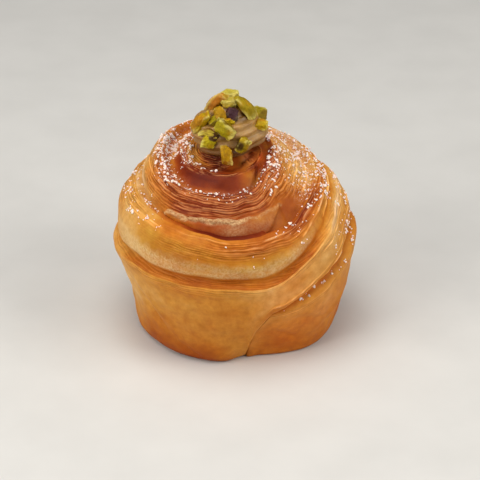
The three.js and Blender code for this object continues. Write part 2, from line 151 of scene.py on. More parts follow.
# Where the cut edges of the layers show: turn, share of the way where they begin, share
# where they are full, and how deep they are
LAYERS = (
    (-1, 0.86, 1, 0.1), (0.03, 0.86, 1, 0.12), (0.07, 0.84, 1, 0.15), (0.125, 0.74, 0.98, 0.25),
    (0.2, 0.62, 0.9, 0.35), (0.25, 0.4, 0.8, 0.4), (0.5, 0.4, 0.6, 0.4), (0.75, 0.5, 0.66, 0.4),
    (0.88, 0.46, 0.72, 0.34), (1, 0.5, 0.74, 0.34), (1.06, 0.56, 0.76, 0.36), (1.125, 0.56, 0.76, 0.4),
    (1.2, 0.3, 0.55, 0.45), (1.3, 0.2, 0.4, 0.45),
    (1.75, 0.2, 0.4, 0.45), (1.85, 0.2, 0.5, 0.45), (2, 0.52, 0.62, 0.45), (2.1, 0.5, 0.65, 0.45),
    (2.2, 0.15, 0.35, 0.45), (2.5, 0.2, 0.4, 0.4), (2.7, 0.6, 0.75, 0.35), (2.85, 0.82, 0.92, 0.2),
    (3.02, 0.84, 0.93, 0.2), (3.2, 0.8, 0.9, 0.2), (3.6, 0.3, 0.5, 0.3), (3.75, 0.02, 0.1, 0.25),
    (3.95, 0.05, 0.2, 0.2), (4.05, 0.6, 0.8, 0.15), (5, 0.6, 0.8, 0.1),
)
LAYER_PITCH = 1.35            # distance between the coarse edges of the layers
TORN_RANGE = (-0.35, 0.5)     # how deep and how high a torn edge still changes the colour: painted shade when sunk, painted highlight when raised

# Torn edges of layers: turn and share where they start, turn and share where they end, half
# width, and how far they stand out. The last two are the seam along the second crest, sunk and darkened
# with painted shade.
SLIVERS = (
    (0.79, 0.83, 0.89, 0.865, 0.32, 0.6), (0.8, 0.79, 0.885, 0.82, 0.32, 0.5),
    (0.74, 0.9, 0.82, 0.93, 0.3, 0.5), (0.9, 0.9, 1.0, 0.92, 0.3, 0.35),
    (0.98, 0.8, 1.1, 0.83, 0.32, 0.4), (1.04, 0.9, 1.16, 0.86, 0.3, 0.5),
    (1.1, 0.62, 1.22, 0.7, 0.35, 0.5), (1.16, 0.42, 1.3, 0.5, 0.35, 0.55),
    (1.2, 0.72, 1.36, 0.78, 0.32, 0.5), (1.7, 0.5, 1.84, 0.56, 0.35, 0.5),
    (1.74, 0.72, 1.92, 0.76, 0.32, 0.55), (1.8, 0.9, 2.0, 0.88, 0.3, 0.5),
    (1.88, 0.64, 2.02, 0.72, 0.32, 0.45), (2.0, 0.8, 2.16, 0.76, 0.32, 0.5),
    (2.1, 0.66, 2.26, 0.6, 0.35, 0.5), (2.14, 0.5, 2.3, 0.42, 0.35, 0.55),
    (2.18, 0.26, 2.34, 0.24, 0.35, 0.6), (2.4, 0.7, 2.6, 0.74, 0.32, 0.5),
    (2.72, 0.8, 2.92, 0.84, 0.3, 0.3),
    (0.13, 0.84, 0.24, 0.82, 0.35, 0.5), (0.17, 0.6, 0.3, 0.66, 0.35, 0.5),
    (0.15, 0.4, 0.28, 0.3, 0.35, 0.5), (0.3, 0.8, 0.5, 0.84, 0.32, 0.45),
    (0.035, 0.4, 0.2, 0.5, 0.4, 0.5), (0.06, 0.3, 0.18, 0.38, 0.3, 0.4),
    (1.88, 0.75, 1.98, 0.8, 0.3, 0.45), (1.96, 0.68, 2.1, 0.66, 0.3, 0.5),
    (2.03, 0.88, 2.14, 0.9, 0.3, 0.5), (2.1, 0.62, 2.2, 0.5, 0.3, 0.5),
    (0.5, 0.7, 0.7, 0.78, 0.32, 0.45), (1.4, 0.7, 1.6, 0.74, 0.32, 0.5),
    (1.6, 0.94, 1.79, 0.95, 0.45, -1.1), (1.765, 0.955, 1.92, 0.74, 0.45, -1.1),
)
# Crumples of the dough in the eye, in the same manner
CRUMPLES = (
    (3.05, 0.3, 3.11, 0.86, 0.8, 0.9), (3.075, 0.28, 3.135, 0.8, 0.6, -0.8),
    (3.1, 0.4, 3.16, 0.9, 0.7, 0.7), (3.13, 0.5, 3.19, 0.9, 0.6, -0.6),
    (3.06, 0.9, 3.14, 0.6, 0.5, -0.6), (4.05, 0.16, 4.24, 0.2, 1.6, 1.4),
    (4.1, 0.02, 4.16, 0.5, 0.5, 0.5),
)

# The rim of the loose flap of dough: turn and share of the way up
FLAP_RIM = (
    (1.856, 0.06), (1.865, 0.24), (1.876, 0.38), (1.888, 0.44), (1.9, 0.44), (1.918, 0.42),
    (1.932, 0.45), (1.948, 0.5), (1.963, 0.49), (1.975, 0.53), (1.986, 0.56), (2.0, 0.55),
    (2.012, 0.52), (2.03, 0.53), (2.048, 0.52), (2.061, 0.55), (2.076, 0.545), (2.094, 0.515),
    (2.112, 0.475), (2.12, 0.44),
)
# The slanted lower edge of the flap at its free end
FLAP_FOOT = (
    (2.036, -0.1), (2.05, 0.02), (2.06, 0.14), (2.072, 0.26), (2.085, 0.37), (2.1, 0.42),
    (2.112, 0.45), (2.12, 0.46),
)

# Dents and creases in the side that stood in the tin: azimuth and height of their ends,
# half width, how far out
WALL_CREASES = (
    (292, 27, 318, 9, 1.6, -1.05), (296, 31, 322, 14, 1.5, 0.6), (318, 9, 338, 2, 1.2, -0.75),
    (338, 24, 350, 10, 2.2, -0.6), (262, 30, 284, 12, 1.8, -0.75), (24, 14, 44, 6, 1.2, -0.75),
    (34, 20, 62, 12, 1.4, -0.75), (50, 10, 74, 22, 1.5, 0.75), (66, 6, 84, 16, 1.4, -0.9),
    (100, 30, 130, 12, 2, -0.9), (150, 10, 176, 30, 2, -0.9), (200, 28, 226, 8, 1.8, -0.75),
    (236, 12, 254, 28, 1.8, 0.75),
)
WALL_DEGREE = 0.62            # length of a degree of azimuth on that side

# How brown the bake is, from 0, pale, to 1, dark. For each turn: above the lower crest, on
# the lip, belly and shoulder, and under the upper crest
# Partly painted light: browner near the bottom edge of the base for painted shade there, and paler on
# the left edge of the base near turn -0.2 for a painted sheen
BROWNING_AT = (0.05, 0.34, 0.5, 0.72, 0.94)
BROWNING = (
    (-1, 0.62, 0.53, 0.45, 0.42, 0.38), (-0.9, 0.62, 0.57, 0.52, 0.45, 0.36),
    (-0.84, 0.62, 0.57, 0.52, 0.42, 0.36),
    (-0.5, 0.7, 0.6, 0.52, 0.5, 0.55), (-0.2, 0.72, 0.42, 0.3, 0.22, 0.32),
    (-0.14, 0.84, 0.6, 0.48, 0.34, 0.38), (-0.05, 0.86, 0.48, 0.44, 0.46, 0.46),
    (0.01, 0.46, 0.43, 0.47, 0.44, 0.3), (0.05, 0.5, 0.45, 0.2, 0.23, 0.24),
    (0.1, 0.4, 0.45, 0.26, 0.37, 0.27), (0.15, 0.42, 0.5, 0.3, 0.17, 0.25),
    (0.2, 0.44, 0.38, 0.45, 0.4, 0.05), (0.3, 0.5, 0.42, 0.34, 0.3, 0.1),
    (0.5, 0.62, 0.5, 0.42, 0.42, 0.5), (0.75, 0.28, 0.26, 0.2, 0.33, 0.28),
    (0.8, 0.37, 0.36, 0.2, 0.3, 0.34), (0.85, 0.69, 0.34, 0.42, 0.38, 0.31),
    (0.9, 0.58, 0.49, 0.53, 0.56, 0.66),
    (0.95, 0.71, 0.4, 0.6, 0.58, 0.49), (1, 0.7, 0.49, 0.44, 0.73, 0.58),
    (1.06, 0.68, 0.46, 0.47, 0.68, 0.68),
    (1.11, 0.68, 0.63, 0.45, 0.63, 0.92), (1.16, 0.27, 0.57, 0.48, 0.59, 1.0),
    (1.22, 0.14, 0.6, 0.24, 0.62, 0.6), (1.3, 0.3, 0.45, 0.42, 0.54, 0.34),
    (1.4, 0.3, 0.4, 0.36, 0.46, 0.3), (1.55, 0.5, 0.45, 0.42, 0.55, 0.56),
    (1.73, 0.11, 0.08, 0.16, 0.31, 0.42), (1.8, 0.2, 0.26, 0.54, 0.54, 0.6),
    (1.86, 0.54, 0.6, 0.63, 0.73, 0.8), (1.91, 0.72, 0.64, 1.0, 0.96, 0.86),
    (1.95, 0.98, 0.78, 0.92, 1.02, 0.92),
    (2, 1.02, 0.84, 0.88, 0.99, 0.92), (2.06, 0.76, 0.76, 0.73, 0.89, 0.86),
    (2.12, 0.68, 0.74, 0.71, 0.69, 0.8), (2.16, 0.56, 0.74, 0.64, 0.68, 0.84),
    (2.2, 0.6, 0.56, 0.42, 0.42, 0.78),
    (2.25, 0.24, 0.25, 0.18, 0.32, 0.62), (2.32, 0.14, 0.36, 0.22, 0.24, 0.34),
    (2.42, 0.2, 0.4, 0.36, 0.4, 0.45), (2.52, 0.6, 0.6, 0.6, 0.62, 0.6),
    (2.7, 0.56, 0.5, 0.56, 0.68, 0.6), (2.79, 0.64, 0.62, 0.76, 1.0, 0.86),
    (2.87, 0.74, 0.68, 0.94, 1.14, 0.97), (3, 1.0, 0.88, 1.05, 1.03, 1.12),
    (3.06, 1.0, 0.95, 0.9, 0.8, 0.76), (3.11, 0.95, 0.86, 1.0, 1.06, 0.96),
    (3.16, 0.95, 0.95, 0.86, 0.7, 0.66), (3.2, 1.0, 0.82, 0.86, 0.72, 0.64),
    (3.27, 0.9, 0.6, 0.68, 0.8, 0.8), (3.4, 0.9, 0.8, 0.8, 0.85, 0.85),
    (3.74, 0.34, 0.3, 0.8, 0.95, 0.9), (3.81, 0.34, 0.32, 1.03, 1.1, 1.05),
    (3.86, 0.76, 0.54, 0.98, 1.1, 1.1),
    (3.95, 0.98, 1.1, 1.2, 1.1, 1.0), (4, 0.96, 0.88, 0.88, 0.9, 1.0),
    (4.06, 0.76, 0.72, 0.85, 0.9, 0.9), (4.12, 0.58, 0.46, 0.56, 0.66, 0.8),
    (4.2, 0.6, 0.5, 0.5, 0.6, 0.8), (4.3, 0.7, 0.6, 0.6, 0.7, 0.9),
    (5, 0.9, 0.9, 0.9, 0.9, 0.9),
)
GROOVE_PAINTED_SHADE = 0.16          # painted shade: how much browner the grooves are made, more where they are sunk
GLOSS_BROWN, GLOSS_TURNS = (0.55, 0.9), (1.6, 1.9)   # browning and turns where the gloss sets in
# Spots that are baked more or less, and two that are painted light at the front seam: turn, share,
# reach in turns, reach in shares, change
BAKED_AND_PAINTED_LIGHT_SPOTS = (
    (0.79, 0.76, 0.025, 0.05, -0.15), (2.755, 0.47, 0.04, 0.08, -0.2), (0.84, 0.3, 0.05, 0.1, -0.05),
    (0.2, 0.95, 0.05, 0.06, -0.1), (1.95, 0.2, 0.06, 0.14, 0.1), (2.05, 0.46, 0.04, 0.08, -0.08),
    (2.1, 0.2, 0.03, 0.14, -0.08), (0.935, 0.13, 0.05, 0.08, 0.07),
    (1.955, 0.99, 0.03, 0.03, 0.2), (-0.3, 0.9, 0.05, 0.1, -0.1),
    (-0.12, 0.45, 0.035, 0.2, 0.07), (-0.08, 0.9, 0.06, 0.06, 0.06), (3.08, 0.3, 0.02, 0.25, -0.1),
    # at the front seam: a painted highlight on the lip, and painted shade in the groove under it
    (0.04, 0.16, 0.02, 0.035, -0.16), (0.036, 0.05, 0.016, 0.035, 0.2),
    (-0.05, 0.2, 0.06, 0.12, 0.03), (3.085, 0.7, 0.02, 0.12, -0.14),
    (3.105, 0.92, 0.02, 0.04, 0.16), (2.96, 0.68, 0.05, 0.14, 0.08), (3.09, 0.55, 0.02, 0.2, 0.05),
    (1.23, 0.8, 0.05, 0.2, 0.08), (0.83, 0.85, 0.05, 0.15, 0.07), (0.19, 0.78, 0.05, 0.2, 0.07),
    (2.02, 0.35, 0.03, 0.12, 0.07), (2.14, 0.3, 0.03, 0.2, 0.05),
)
BAND_TINT = (-0.14, 0.02, -0.2)   # change of the front band's linear colour
# Spots that are redder or yellower: turn, share, reach in turns, reach in shares, change of
# the linear colour
TINTS_AND_PAINTED_SHEEN = (
    (-0.92, 0.6, 0.06, 0.5, 0.08, -0.1, -0.05), (-0.85, 0.65, 0.03, 0.4, 0.02, 0.05, 0.7),
    # the spot at turn -0.21 is a painted sheen of side light on the left edge of the base
    (-0.13, 0.5, 0.08, 0.5, -0.03, 0.06, 0.25), (-0.21, 0.4, 0.04, 0.6, 0.0, 0.08, 0.5),
    (-0.1, 0.45, 0.1, 0.3, 0.0, 0.04, 0.3), (2.97, 0.62, 0.06, 0.25, 0.0, 0.1, -0.4),
    (2.97, 0.06, 0.04, 0.15, 0.3, 0.0, -0.3), (1.83, 0.35, 0.04, 0.5, -0.02, 0.02, 0.5),
    (3.18, 0.86, 0.04, 0.18, 0.25, -0.15, 1.4), (4.13, 0.18, 0.05, 0.3, 0.1, 0.0, 2.0),
    (3.095, 0.84, 0.03, 0.14, 0.0, 0.1, 0.3), (2.12, 0.2, 0.04, 0.25, 0.0, 0.08, 0.9),
    (0.075, 0.6, 0.045, 0.6, 0.06, -0.08, 0.05), (0.2, 0.6, 0.06, 0.6, -0.03, 0.03, 0.35),
    (0.82, 0.5, 0.05, 0.6, -0.09, 0.05, 0.5), (1.12, 0.58, 0.06, 0.15, -0.04, 0.07, 0.3),
    (1.78, 0.3, 0.08, 0.5, -0.05, 0.06, 0.6), (2.05, 0.45, 0.05, 0.12, -0.05, 0.1, 0.2),
    (2.2, 0.25, 0.07, 0.3, -0.04, 0.07, 0.35), (2.37, 0.08, 0.07, 0.25, 0.02, 0.1, 1.0),
    (1.38, 0.96, 0.07, 0.1, 0.02, 0.1, 1.0), (3.08, 0.45, 0.035, 0.4, -0.08, 0.42, 0.8),
    (4.07, 0.2, 0.07, 0.4, -0.12, 0.08, 1.2), (4.2, 0.45, 0.08, 0.5, 0.12, -0.1, 1.8),
)
# The colours of the bake, from raw to dark, as sRGB
BAKE_COLOURS = (
    (0.0, (228, 184, 122)), (0.2, (212, 156, 76)), (0.4, (200, 132, 44)), (0.6, (184, 104, 22)),
    (0.8, (156, 72, 12)), (1.0, (122, 42, 6)), (1.2, (90, 22, 3)),
)

# Floury spots of the flap: turn, share, reach in turns, reach in shares, amount
FLOUR_SPOTS = ((2.002, 0.36, 0.022, 0.12, 0.42), (2.06, 0.38, 0.035, 0.12, 0.2))
FLOUR_COLOUR = (222, 190, 138)
FINE_LAYER_PITCH = 0.9        # distance between the finest layers, which are only colour

# Painted shade on the cream, between the nuts and under them: place and reach
CREAM_PAINTED_SHADES = (
    (-1.2, -8.5, 77.6, 4.4), (2.6, -1.2, 84, 4.2), (-9, -7, 75.5, 3.6), (-4.5, -6.5, 79, 2.5),
)
CREAM_FOOT_PAINTED_SHADE = (72, 77.5)   # painted shade of the foot: heights where it is darkest, and where it ends

# The rosette of cream, a strand piped in a spiral: turns, middle radius, height of its
# middle above the foot, and the strand's own radius
STRAND = (
    (-0.4, 6.0, 3.4, 4.0), (-0.2, 7.4, 4.2, 5.4), (0, 5.6, 4.7, 5.2), (0.14, 6.0, 5.6, 5.2),
    (0.25, 8.3, 6.2, 5.3), (0.5, 7.8, 6.4, 5.4), (0.77, 8.0, 6.8, 5.6), (1.0, 5.5, 8.2, 5.0),
    (1.25, 6.2, 9.6, 4.8), (1.5, 5.2, 10.8, 4.6), (2.0, 3.0, 13.0, 4.0), (2.5, 1.6, 14.2, 3.4),
    (3.0, 0.3, 15.2, 2.4),
)
STRAND_TURNS = 3
STRAND_RIBS = 9
RIB_DEPTH = 0.075
CORE_RADIUS, CORE_HEIGHT = 7.4, 9.0   # the cream inside the spiral
CREAM_FOOT = 70.5             # height of the rosette's foot
CREAM_COLUMNS, CREAM_ROWS = 220, 150
CREAM_FROM = -62.0            # lowest elevation of the rosette, seen from inside it
CREAM_EYE = 4.0               # height of the point that elevations are taken from
CREAM_SINKS = 0.8             # the foot sinks into the eye of the coil
CREAM_UNEVEN = 0.12

# Chopped pistachios: azimuth and reach from the rosette's middle, height, length, width,
# thickness, azimuth that the broad face looks to, turn of the length from level, kind
PISTACHIOS = (
    (178, 3.6, 88.2, 6.6, 4.4, 4.8, 0, -4, "pale"),
    (-84, 4.9, 88.0, 9.4, 4.2, 4.2, -15, -52, "tan_skin"),
    (-6, 2.2, 88.2, 5.4, 4.0, 4.8, 0, -8, "pale"),
    (9, 5.4, 86.1, 4.4, 4.3, 4.0, 0, 12, "purple_skin"),
    (62, 6.6, 87.7, 10.8, 4.0, 4.4, 10, 50, "olive"),
    (95, 10.4, 82.3, 5.4, 5.0, 4.8, 15, 12, "green"),
    (71, 11.7, 80.9, 5.0, 3.5, 3.8, 10, 4, "yellow"),
    (-61, 11.4, 82.9, 9.8, 4.4, 4.0, -25, -46, "yellow"),
    (-27, 7.3, 86.2, 5.6, 4.0, 4.2, 0, 76, "golden"),
    (-33, 8.4, 83.7, 5.0, 4.0, 3.8, -10, -40, "green"),
    (-10, 10.2, 81.9, 7.6, 5.0, 4.6, 0, 38, "green"),
    (-37, 11.8, 80.3, 7.2, 2.8, 3.2, -20, 10, "peel"),
    (-36, 12.3, 77.5, 5.0, 4.8, 4.4, -10, 10, "bright"),
    (-1, 7.4, 83.9, 3.8, 2.0, 2.6, 0, 16, "yellow"),
    (23, 11.5, 76.0, 5.8, 4.4, 4.2, 15, -68, "dark_heart"),
    (-5, 12.2, 72.7, 6.8, 4.0, 3.8, 0, 84, "golden"),
    (165, 7.6, 84.0, 6.0, 4.4, 4.2, 165, -20, "olive"),
    (-165, 9.0, 81.8, 5.6, 4.4, 4.2, -160, 40, "yellow"),
    (-128, 10.9, 78.2, 6.4, 4.4, 4.0, -120, 10, "green"),
    (128, 12.0, 79.0, 5.4, 4.8, 4.0, 128, -30, "bright"),
    (175, 13.2, 76.4, 6.6, 4.2, 3.8, 175, 60, "golden"),
    # a small dark piece under the curled peel: partly its dark inner skin, partly painted shade under
    # the peel
    (-27, 11.9, 79.3, 2.9, 2.4, 2.4, -10, 30, "dark_skin_and_shade"),
)
# Flesh and skin colours of each kind, as sRGB, the share of the piece that is skin, and how
# far its ends bend down
PISTACHIO_KINDS = {
    "pale": ((192, 172, 64), (178, 148, 44), 0.2, 0.0),
    "yellow": ((178, 148, 8), (170, 116, 12), 0.25, 0.0),
    "golden": ((170, 126, 6), (162, 102, 8), 0.35, 0.0),
    "green": ((158, 140, 12), (126, 100, 10), 0.2, 0.0),
    "bright": ((170, 150, 12), (146, 120, 12), 0.15, 0.0),
    "olive": ((152, 128, 12), (168, 112, 8), 0.3, 0.7),
    "tan_skin": ((180, 140, 28), (176, 108, 24), 0.6, 0.7),
    "purple_skin": ((84, 50, 52), (64, 36, 42), 0.7, 0.0),
    "peel": ((180, 156, 48), (130, 90, 26), 0.15, 1.8),
    "dark_heart": ((158, 130, 10), (72, 50, 10), 0.0, 0.0),
    "dark_skin_and_shade": ((96, 58, 12), (70, 42, 10), 0.5, 0.0),
}
# painted highlight along the edges of the pieces
PAINTED_EDGE_HIGHLIGHT = (224, 212, 120)
RIPE = (178, 128, 6)          # the warmer patches of the flesh
CHOPS = 8                     # cuts that each piece has
CHOP_LEAST, CHOP_RANGE = 0.78, 0.3   # how far out they are, of half the piece's size
PISTACHIO_SEED = 5
NUT_APART = 17.0              # gives each piece its own part of the noise
NUT_ROUGH, NUT_FINE = 0.4, 0.2   # relief of the pieces
NUT_EDGE = 50                 # degrees between two faces where an edge of a piece stays sharp

# Drifts of icing sugar: turn where they start and end, share of the way, spread of that
# share, number of clumps
SUGAR_DRIFTS = (
    (1.58, 1.86, 0.9, 0.09, 190), (1.86, 2.1, 0.95, 0.06, 40), (2.1, 2.3, 0.86, 0.1, 75),
    (2.17, 2.32, 0.42, 0.18, 90), (2.17, 2.34, 0.16, 0.12, 75), (2.66, 2.88, 0.2, 0.16, 120),
    (2.5, 2.76, 0.45, 0.28, 210), (2.5, 2.84, 0.9, 0.08, 85), (2.88, 3.06, 0.3, 0.05, 22),
    (3.07, 3.24, 0.14, 0.14, 26), (3.72, 3.86, 0.06, 0.06, 30), (3.86, 3.95, 0.1, 0.04, 8),
    (0.7, 0.88, 0.86, 0.1, 60), (1.68, 1.86, 0.1, 0.12, 40), (1.06, 1.1, 0.92, 0.04, 6),
    (1.1, 1.28, 0.86, 0.12, 60), (0.16, 0.3, 0.4, 0.28, 110), (0.07, 0.17, 0.08, 0.06, 12),
    (1.28, 1.6, 0.9, 0.1, 170), (2.32, 2.5, 0.12, 0.14, 110), (2.3, 2.62, 0.86, 0.12, 170),
    (0.35, 0.7, 0.95, 0.08, 60), (0.8, 1.12, 0.6, 0.25, 12), (3.3, 3.7, 0.1, 0.15, 60),
    (1.2, 1.3, 0.6, 0.2, 60), (0.25, 0.34, 0.95, 0.06, 30),
)
SUGAR_SEED = 11
STEEPEST_SUGAR = 0.1          # upright share of the normal below which no sugar lies
CLUMP_LEAST, CLUMP_RANGE = 0.15, 0.5   # reach of a clump
GRAINS_MEAN, GRAINS_MORE = 0.7, 3      # grains beyond the first, and more of them for the reach
GRAIN_APART = 0.75                     # how far grains lie from the middle, for the reach
GRAIN_LEAST, GRAIN_RANGE = 0.45, 0.6   # size of a grain, for the reach
GRAIN_SHAPE, GRAIN_JITTER = (1, 0.85, 0.7), 0.25
GRAIN_LIFT = 0.3                       # how far its middle stands off the dough, for its size
VEIL_FULL = 14000.0           # clumps for a turn and a whole way up that veil the dough fully
VEIL_FROM = 1.5               # turn where the veil begins
VEIL_THIN, VEIL_THIN_TO = 0.35, 2.12   # how thin it is in the drifts that end before this turn
VEIL_COLOUR = (255, 228, 208)


# Mathematics of the forms

def hermite(a, b, leave, arrive, u):
    """The point at u, from 0 to 1, of a curve from a to b with a tangent at each end."""
    bend = u**2 * (3 * (b - a) - 2 * leave - arrive) + u**3 * (2 * (a - b) + leave + arrive)
    return a + u * leave + bend


def along_stations(stations, at):
    """Values between stations (at, value, ...) on a smooth curve that doesn't overshoot."""
    table = np.array(stations, float)
    x, y = table[:, 0], table[:, 1:]
    steps = np.diff(x)[:, None]
    slope = np.diff(y, axis=0) / steps
    tangent = np.zeros_like(y)
    tangent[0], tangent[-1] = slope[0], slope[-1]
    w1, w2 = 2 * steps[1:] + steps[:-1], steps[1:] + 2 * steps[:-1]
    same = slope[:-1] * slope[1:] > 0
    before, after = np.where(same, slope[:-1], 1.0), np.where(same, slope[1:], 1.0)
    tangent[1:-1] = np.where(same, (w1 + w2) / (w1 / before + w2 / after), 0.0)
    at = np.asarray(at, float)
    i = np.clip(np.searchsorted(x, at, side="left") - 1, 0, len(x) - 2)
    span = (x[i + 1] - x[i])[..., None]
    u = np.clip((at - x[i])[..., None] / span, 0, 1)
    return hermite(y[i], y[i + 1], tangent[i] * span, tangent[i + 1] * span, u)


def smoothstep(low, high, value):
    """Rises smoothly from 0 at low to 1 at high, either of which may be the greater."""
    u = np.clip((value - low) / (high - low), 0, 1)
    return u * u * (3 - 2 * u)


def over(stretch, value):
    """1 over the full part of a stretch (start, full, fade, end), and 0 outside the stretch."""
    start, full, fade, end = stretch
    return smoothstep(start, full, value) * smoothstep(end, fade, value)


def spot(turn, share, place):
    """1 in the middle of a place (turn, share and its reach in each), and less round it."""
    at_turn, at_share, reach_turn, reach_share = place
    return np.exp(-((turn - at_turn) / reach_turn) ** 2 - ((share - at_share) / reach_share) ** 2)


def lattice(ix, iy, iz, seed):
    """A fixed random number from -1 to 1 for each lattice point."""
    h = (ix * 374761393 + iy * 668265263 + iz * 2147483647 + seed * 144269504).astype(np.int64)
    h = (h ^ (h >> 13)) * 1274126177 & 0xFFFFFFFF
    h = (h ^ (h >> 16)) & 0xFFFFFF
    return h / 0x7FFFFF - 1.0


def noise(x, y, z=0.0, seed=0):
    """Smooth noise from -1 to 1."""
    x, y, z = np.broadcast_arrays(np.asarray(x, float), y, z)
    cell = [np.floor(c).astype(np.int64) for c in (x, y, z)]
    part = [c - k for c, k in zip((x, y, z), cell)]
    fade = [p * p * (3 - 2 * p) for p in part]
    total = np.zeros(x.shape)
    for dx in (0, 1):
        for dy in (0, 1):
            for dz in (0, 1):
                weight = 1.0
                for f, d in zip(fade, (dx, dy, dz)):
                    weight = weight * (f if d else 1 - f)
                total += weight * lattice(cell[0] + dx, cell[1] + dy, cell[2] + dz, seed)
    return total


def clouds(points, across, up, seed):
    """Noise in space, in patches of these sizes across and upwards."""
    x, y, z = np.moveaxis(points, -1, 0)
    return noise(x / across, y / across, z / up, seed=seed)


def waves(turn, parts):
    """Unevenness along the coil, the sum of parts (size, waves to the turn, seed)."""
    total = sum(size * noise(turn * pace, 0.5, seed=seed) for size, pace, seed in parts)
    return total * over(RAGGED, turn)


def linear(colour):
    """sRGB out of 255 to the linear colour that shaders take."""
    c = np.asarray(colour, float) / 255
    return np.where(c <= 0.04045, c / 12.92, ((c + 0.055) / 1.055) ** 2.4)


# Tools for making pieces

def start_fresh():
    """Leaves edit mode and deselects everything."""
    if bpy.context.object and bpy.context.object.mode != "OBJECT":
        bpy.ops.object.mode_set(mode="OBJECT")
    bpy.ops.object.select_all(action="DESELECT")


def choose(obj):
    """Selects one object alone and makes it the active one."""
    start_fresh()
    obj.select_set(True)
    bpy.context.view_layer.objects.active = obj


def edit(obj):
    """Opens a piece in edit mode with all of it selected."""
    choose(obj)
    bpy.ops.object.mode_set(mode="EDIT")
    bpy.ops.mesh.select_mode(type="VERT")
    bpy.ops.mesh.select_all(action="SELECT")


def named(obj, name):
    obj.name = name
    obj.data.name = name
    return obj


def vertices_of(obj):
    """The places of the vertices in millimetres."""
    co = np.empty(len(obj.data.vertices) * 3, np.float32)
    obj.data.vertices.foreach_get("co", co)
    return co.reshape(-1, 3).astype(float) / MM


def move_vertices(obj, places):
    """Puts the vertices at places, given in millimetres."""
    obj.data.vertices.foreach_set("co", (np.asarray(places) * MM).astype(np.float32).ravel())
    obj.data.update()


def store(obj, name, values):
    """Keeps a number or a colour at every vertex."""
    values = np.asarray(values, float)
    if values.ndim == 1:
        layer = obj.data.attributes.new(name, "FLOAT", "POINT")
        layer.data.foreach_set("value", values.astype(np.float32))
    else:
        layer = obj.data.attributes.new(name, "FLOAT_COLOR", "POINT")
        rgba = np.concatenate([values, np.ones((len(values), 1))], 1)
        layer.data.foreach_set("color", rgba.astype(np.float32).ravel())


def add_grid(name, columns, rows):
    """A grid primitive, with the column and row of each of its vertices."""
    start_fresh()
    bpy.ops.mesh.primitive_grid_add(x_subdivisions=columns, y_subdivisions=rows, size=2)
    obj = named(bpy.context.object, name)
    across, up, _ = (vertices_of(obj) * MM).T
    column = np.rint((across + 1) / 2 * columns).astype(int)
    row = np.rint((up + 1) / 2 * rows).astype(int)
    return obj, column, row


def finish_surface(obj, material):
    """Merges the seam of a bent grid, closes its open end and gives it its material."""
    edit(obj)
    bpy.ops.mesh.remove_doubles(threshold=SEAM_GAP)
    bpy.ops.mesh.select_all(action="DESELECT")
    bpy.ops.mesh.select_mode(type="EDGE")
    bpy.ops.mesh.select_non_manifold()
    bpy.ops.mesh.edge_face_add()
    bpy.ops.mesh.poke()
    bpy.ops.mesh.select_all(action="SELECT")
    bpy.ops.mesh.normals_make_consistent(inside=False)
    bpy.ops.object.mode_set(mode="OBJECT")
    bpy.ops.object.shade_smooth()
    obj.data.materials.append(material)


# The coil

def local_form(turn, share):
    """How far the local forms stand out at a turn and a share of the way up."""
    total = np.zeros(np.broadcast(turn, share).shape)
    for at, reach, up, span, out in LOCAL_FORMS:
        near = np.maximum(0, 1 - ((turn - at) / reach) ** 2 - ((share - up) / span) ** 2)
        total += out * near**2
    return total


def coil_controls(azimuth):
    """Control points (radius, height) of every upright section, base edge to apex."""
    crests = np.zeros((len(azimuth), TURNS + 2, 2))
    crests[:, 0, 0] = along_stations(BASE_EDGE, azimuth)[:, 0]
    for k in range(TURNS):
        uneven = np.stack([waves(azimuth / 360 + k, parts) for parts in CREST_WAVES], -1)
        crests[:, k + 1] = along_stations(CREST, azimuth + 360 * k) + uneven
    crests[:, TURNS + 1] = (0, CREST[-1][2])
    points = [crests[:, 0]]
    for k in range(TURNS + 1):
        turn = azimuth / 360 + k - 1
        fold = along_stations(FOLD, turn)
        ragged = waves(turn, LIP_WAVES)
        way = crests[:, k + 1] - crests[:, k]
        length = np.linalg.norm(way, axis=1)
        along = way / np.maximum(length, 1e-9)[:, None]
        outward = np.stack([along[:, 1], -along[:, 0]], -1)
        depth = np.minimum(1, length / FULL_FOLD)
        for c in range(4):
            share, out = fold[:, 2 * c], fold[:, 2 * c + 1]
            out = (out + local_form(turn, share)) * depth
            if c in (0, 1):
                out, share = out + ragged * depth, share + LIP_SHIFT * ragged
            points.append(crests[:, k] + way * share[:, None] + outward * out[:, None])
        points.append(crests[:, k + 1])
    return np.stack(points, 1)


def neighbour(far, here, other, gap_other):
    """The point beyond here on a curve, and the root of its distance. Where it is missing or
    meets here, it is the mirror image of the other neighbour."""
    mirrored = 2 * here - other
    far = mirrored if far is None else far
    gap = np.sqrt(np.linalg.norm(here - far, axis=1))
    meets = gap < MEETS
    return np.where(meets[:, None], mirrored, far), np.where(meets, gap_other, gap)[:, None]


def tangent(before, at, after, gap_before, gap_after):
    """The tangent of a centripetal curve at a point between two neighbours."""
    across = (after - before) / (gap_before + gap_after)
    return (at - before) / gap_before - across + (after - at) / gap_after


def coil_sections(points):
    """A centripetal curve through the control points of every section, row by row."""
    rows = []
    last = points.shape[1] - 1
    for s in range(last):
        p1, p2 = points[:, s], points[:, s + 1]
        gap = np.sqrt(np.linalg.norm(p2 - p1, axis=1))
        same = gap < MEETS
        gap = np.where(same, 1.0, gap)
        p0, gap_before = neighbour(points[:, s - 1] if s else None, p1, p2, gap)
        p3, gap_after = neighbour(points[:, s + 2] if s + 2 <= last else None, p2, p1, gap)
        gap = gap[:, None]
        leave = tangent(p0, p1, p2, gap_before, gap) * gap
        arrive = tangent(p1, p2, p3, gap, gap_after) * gap
        leave[same], arrive[same] = 0, 0
        count = COIL_ROWS[s % len(COIL_ROWS)]
        rows += [hermite(p1, p2, leave, arrive, row / count) for row in range(count)]
    rows.append(points[:, -1])
    return np.stack(rows, 1)


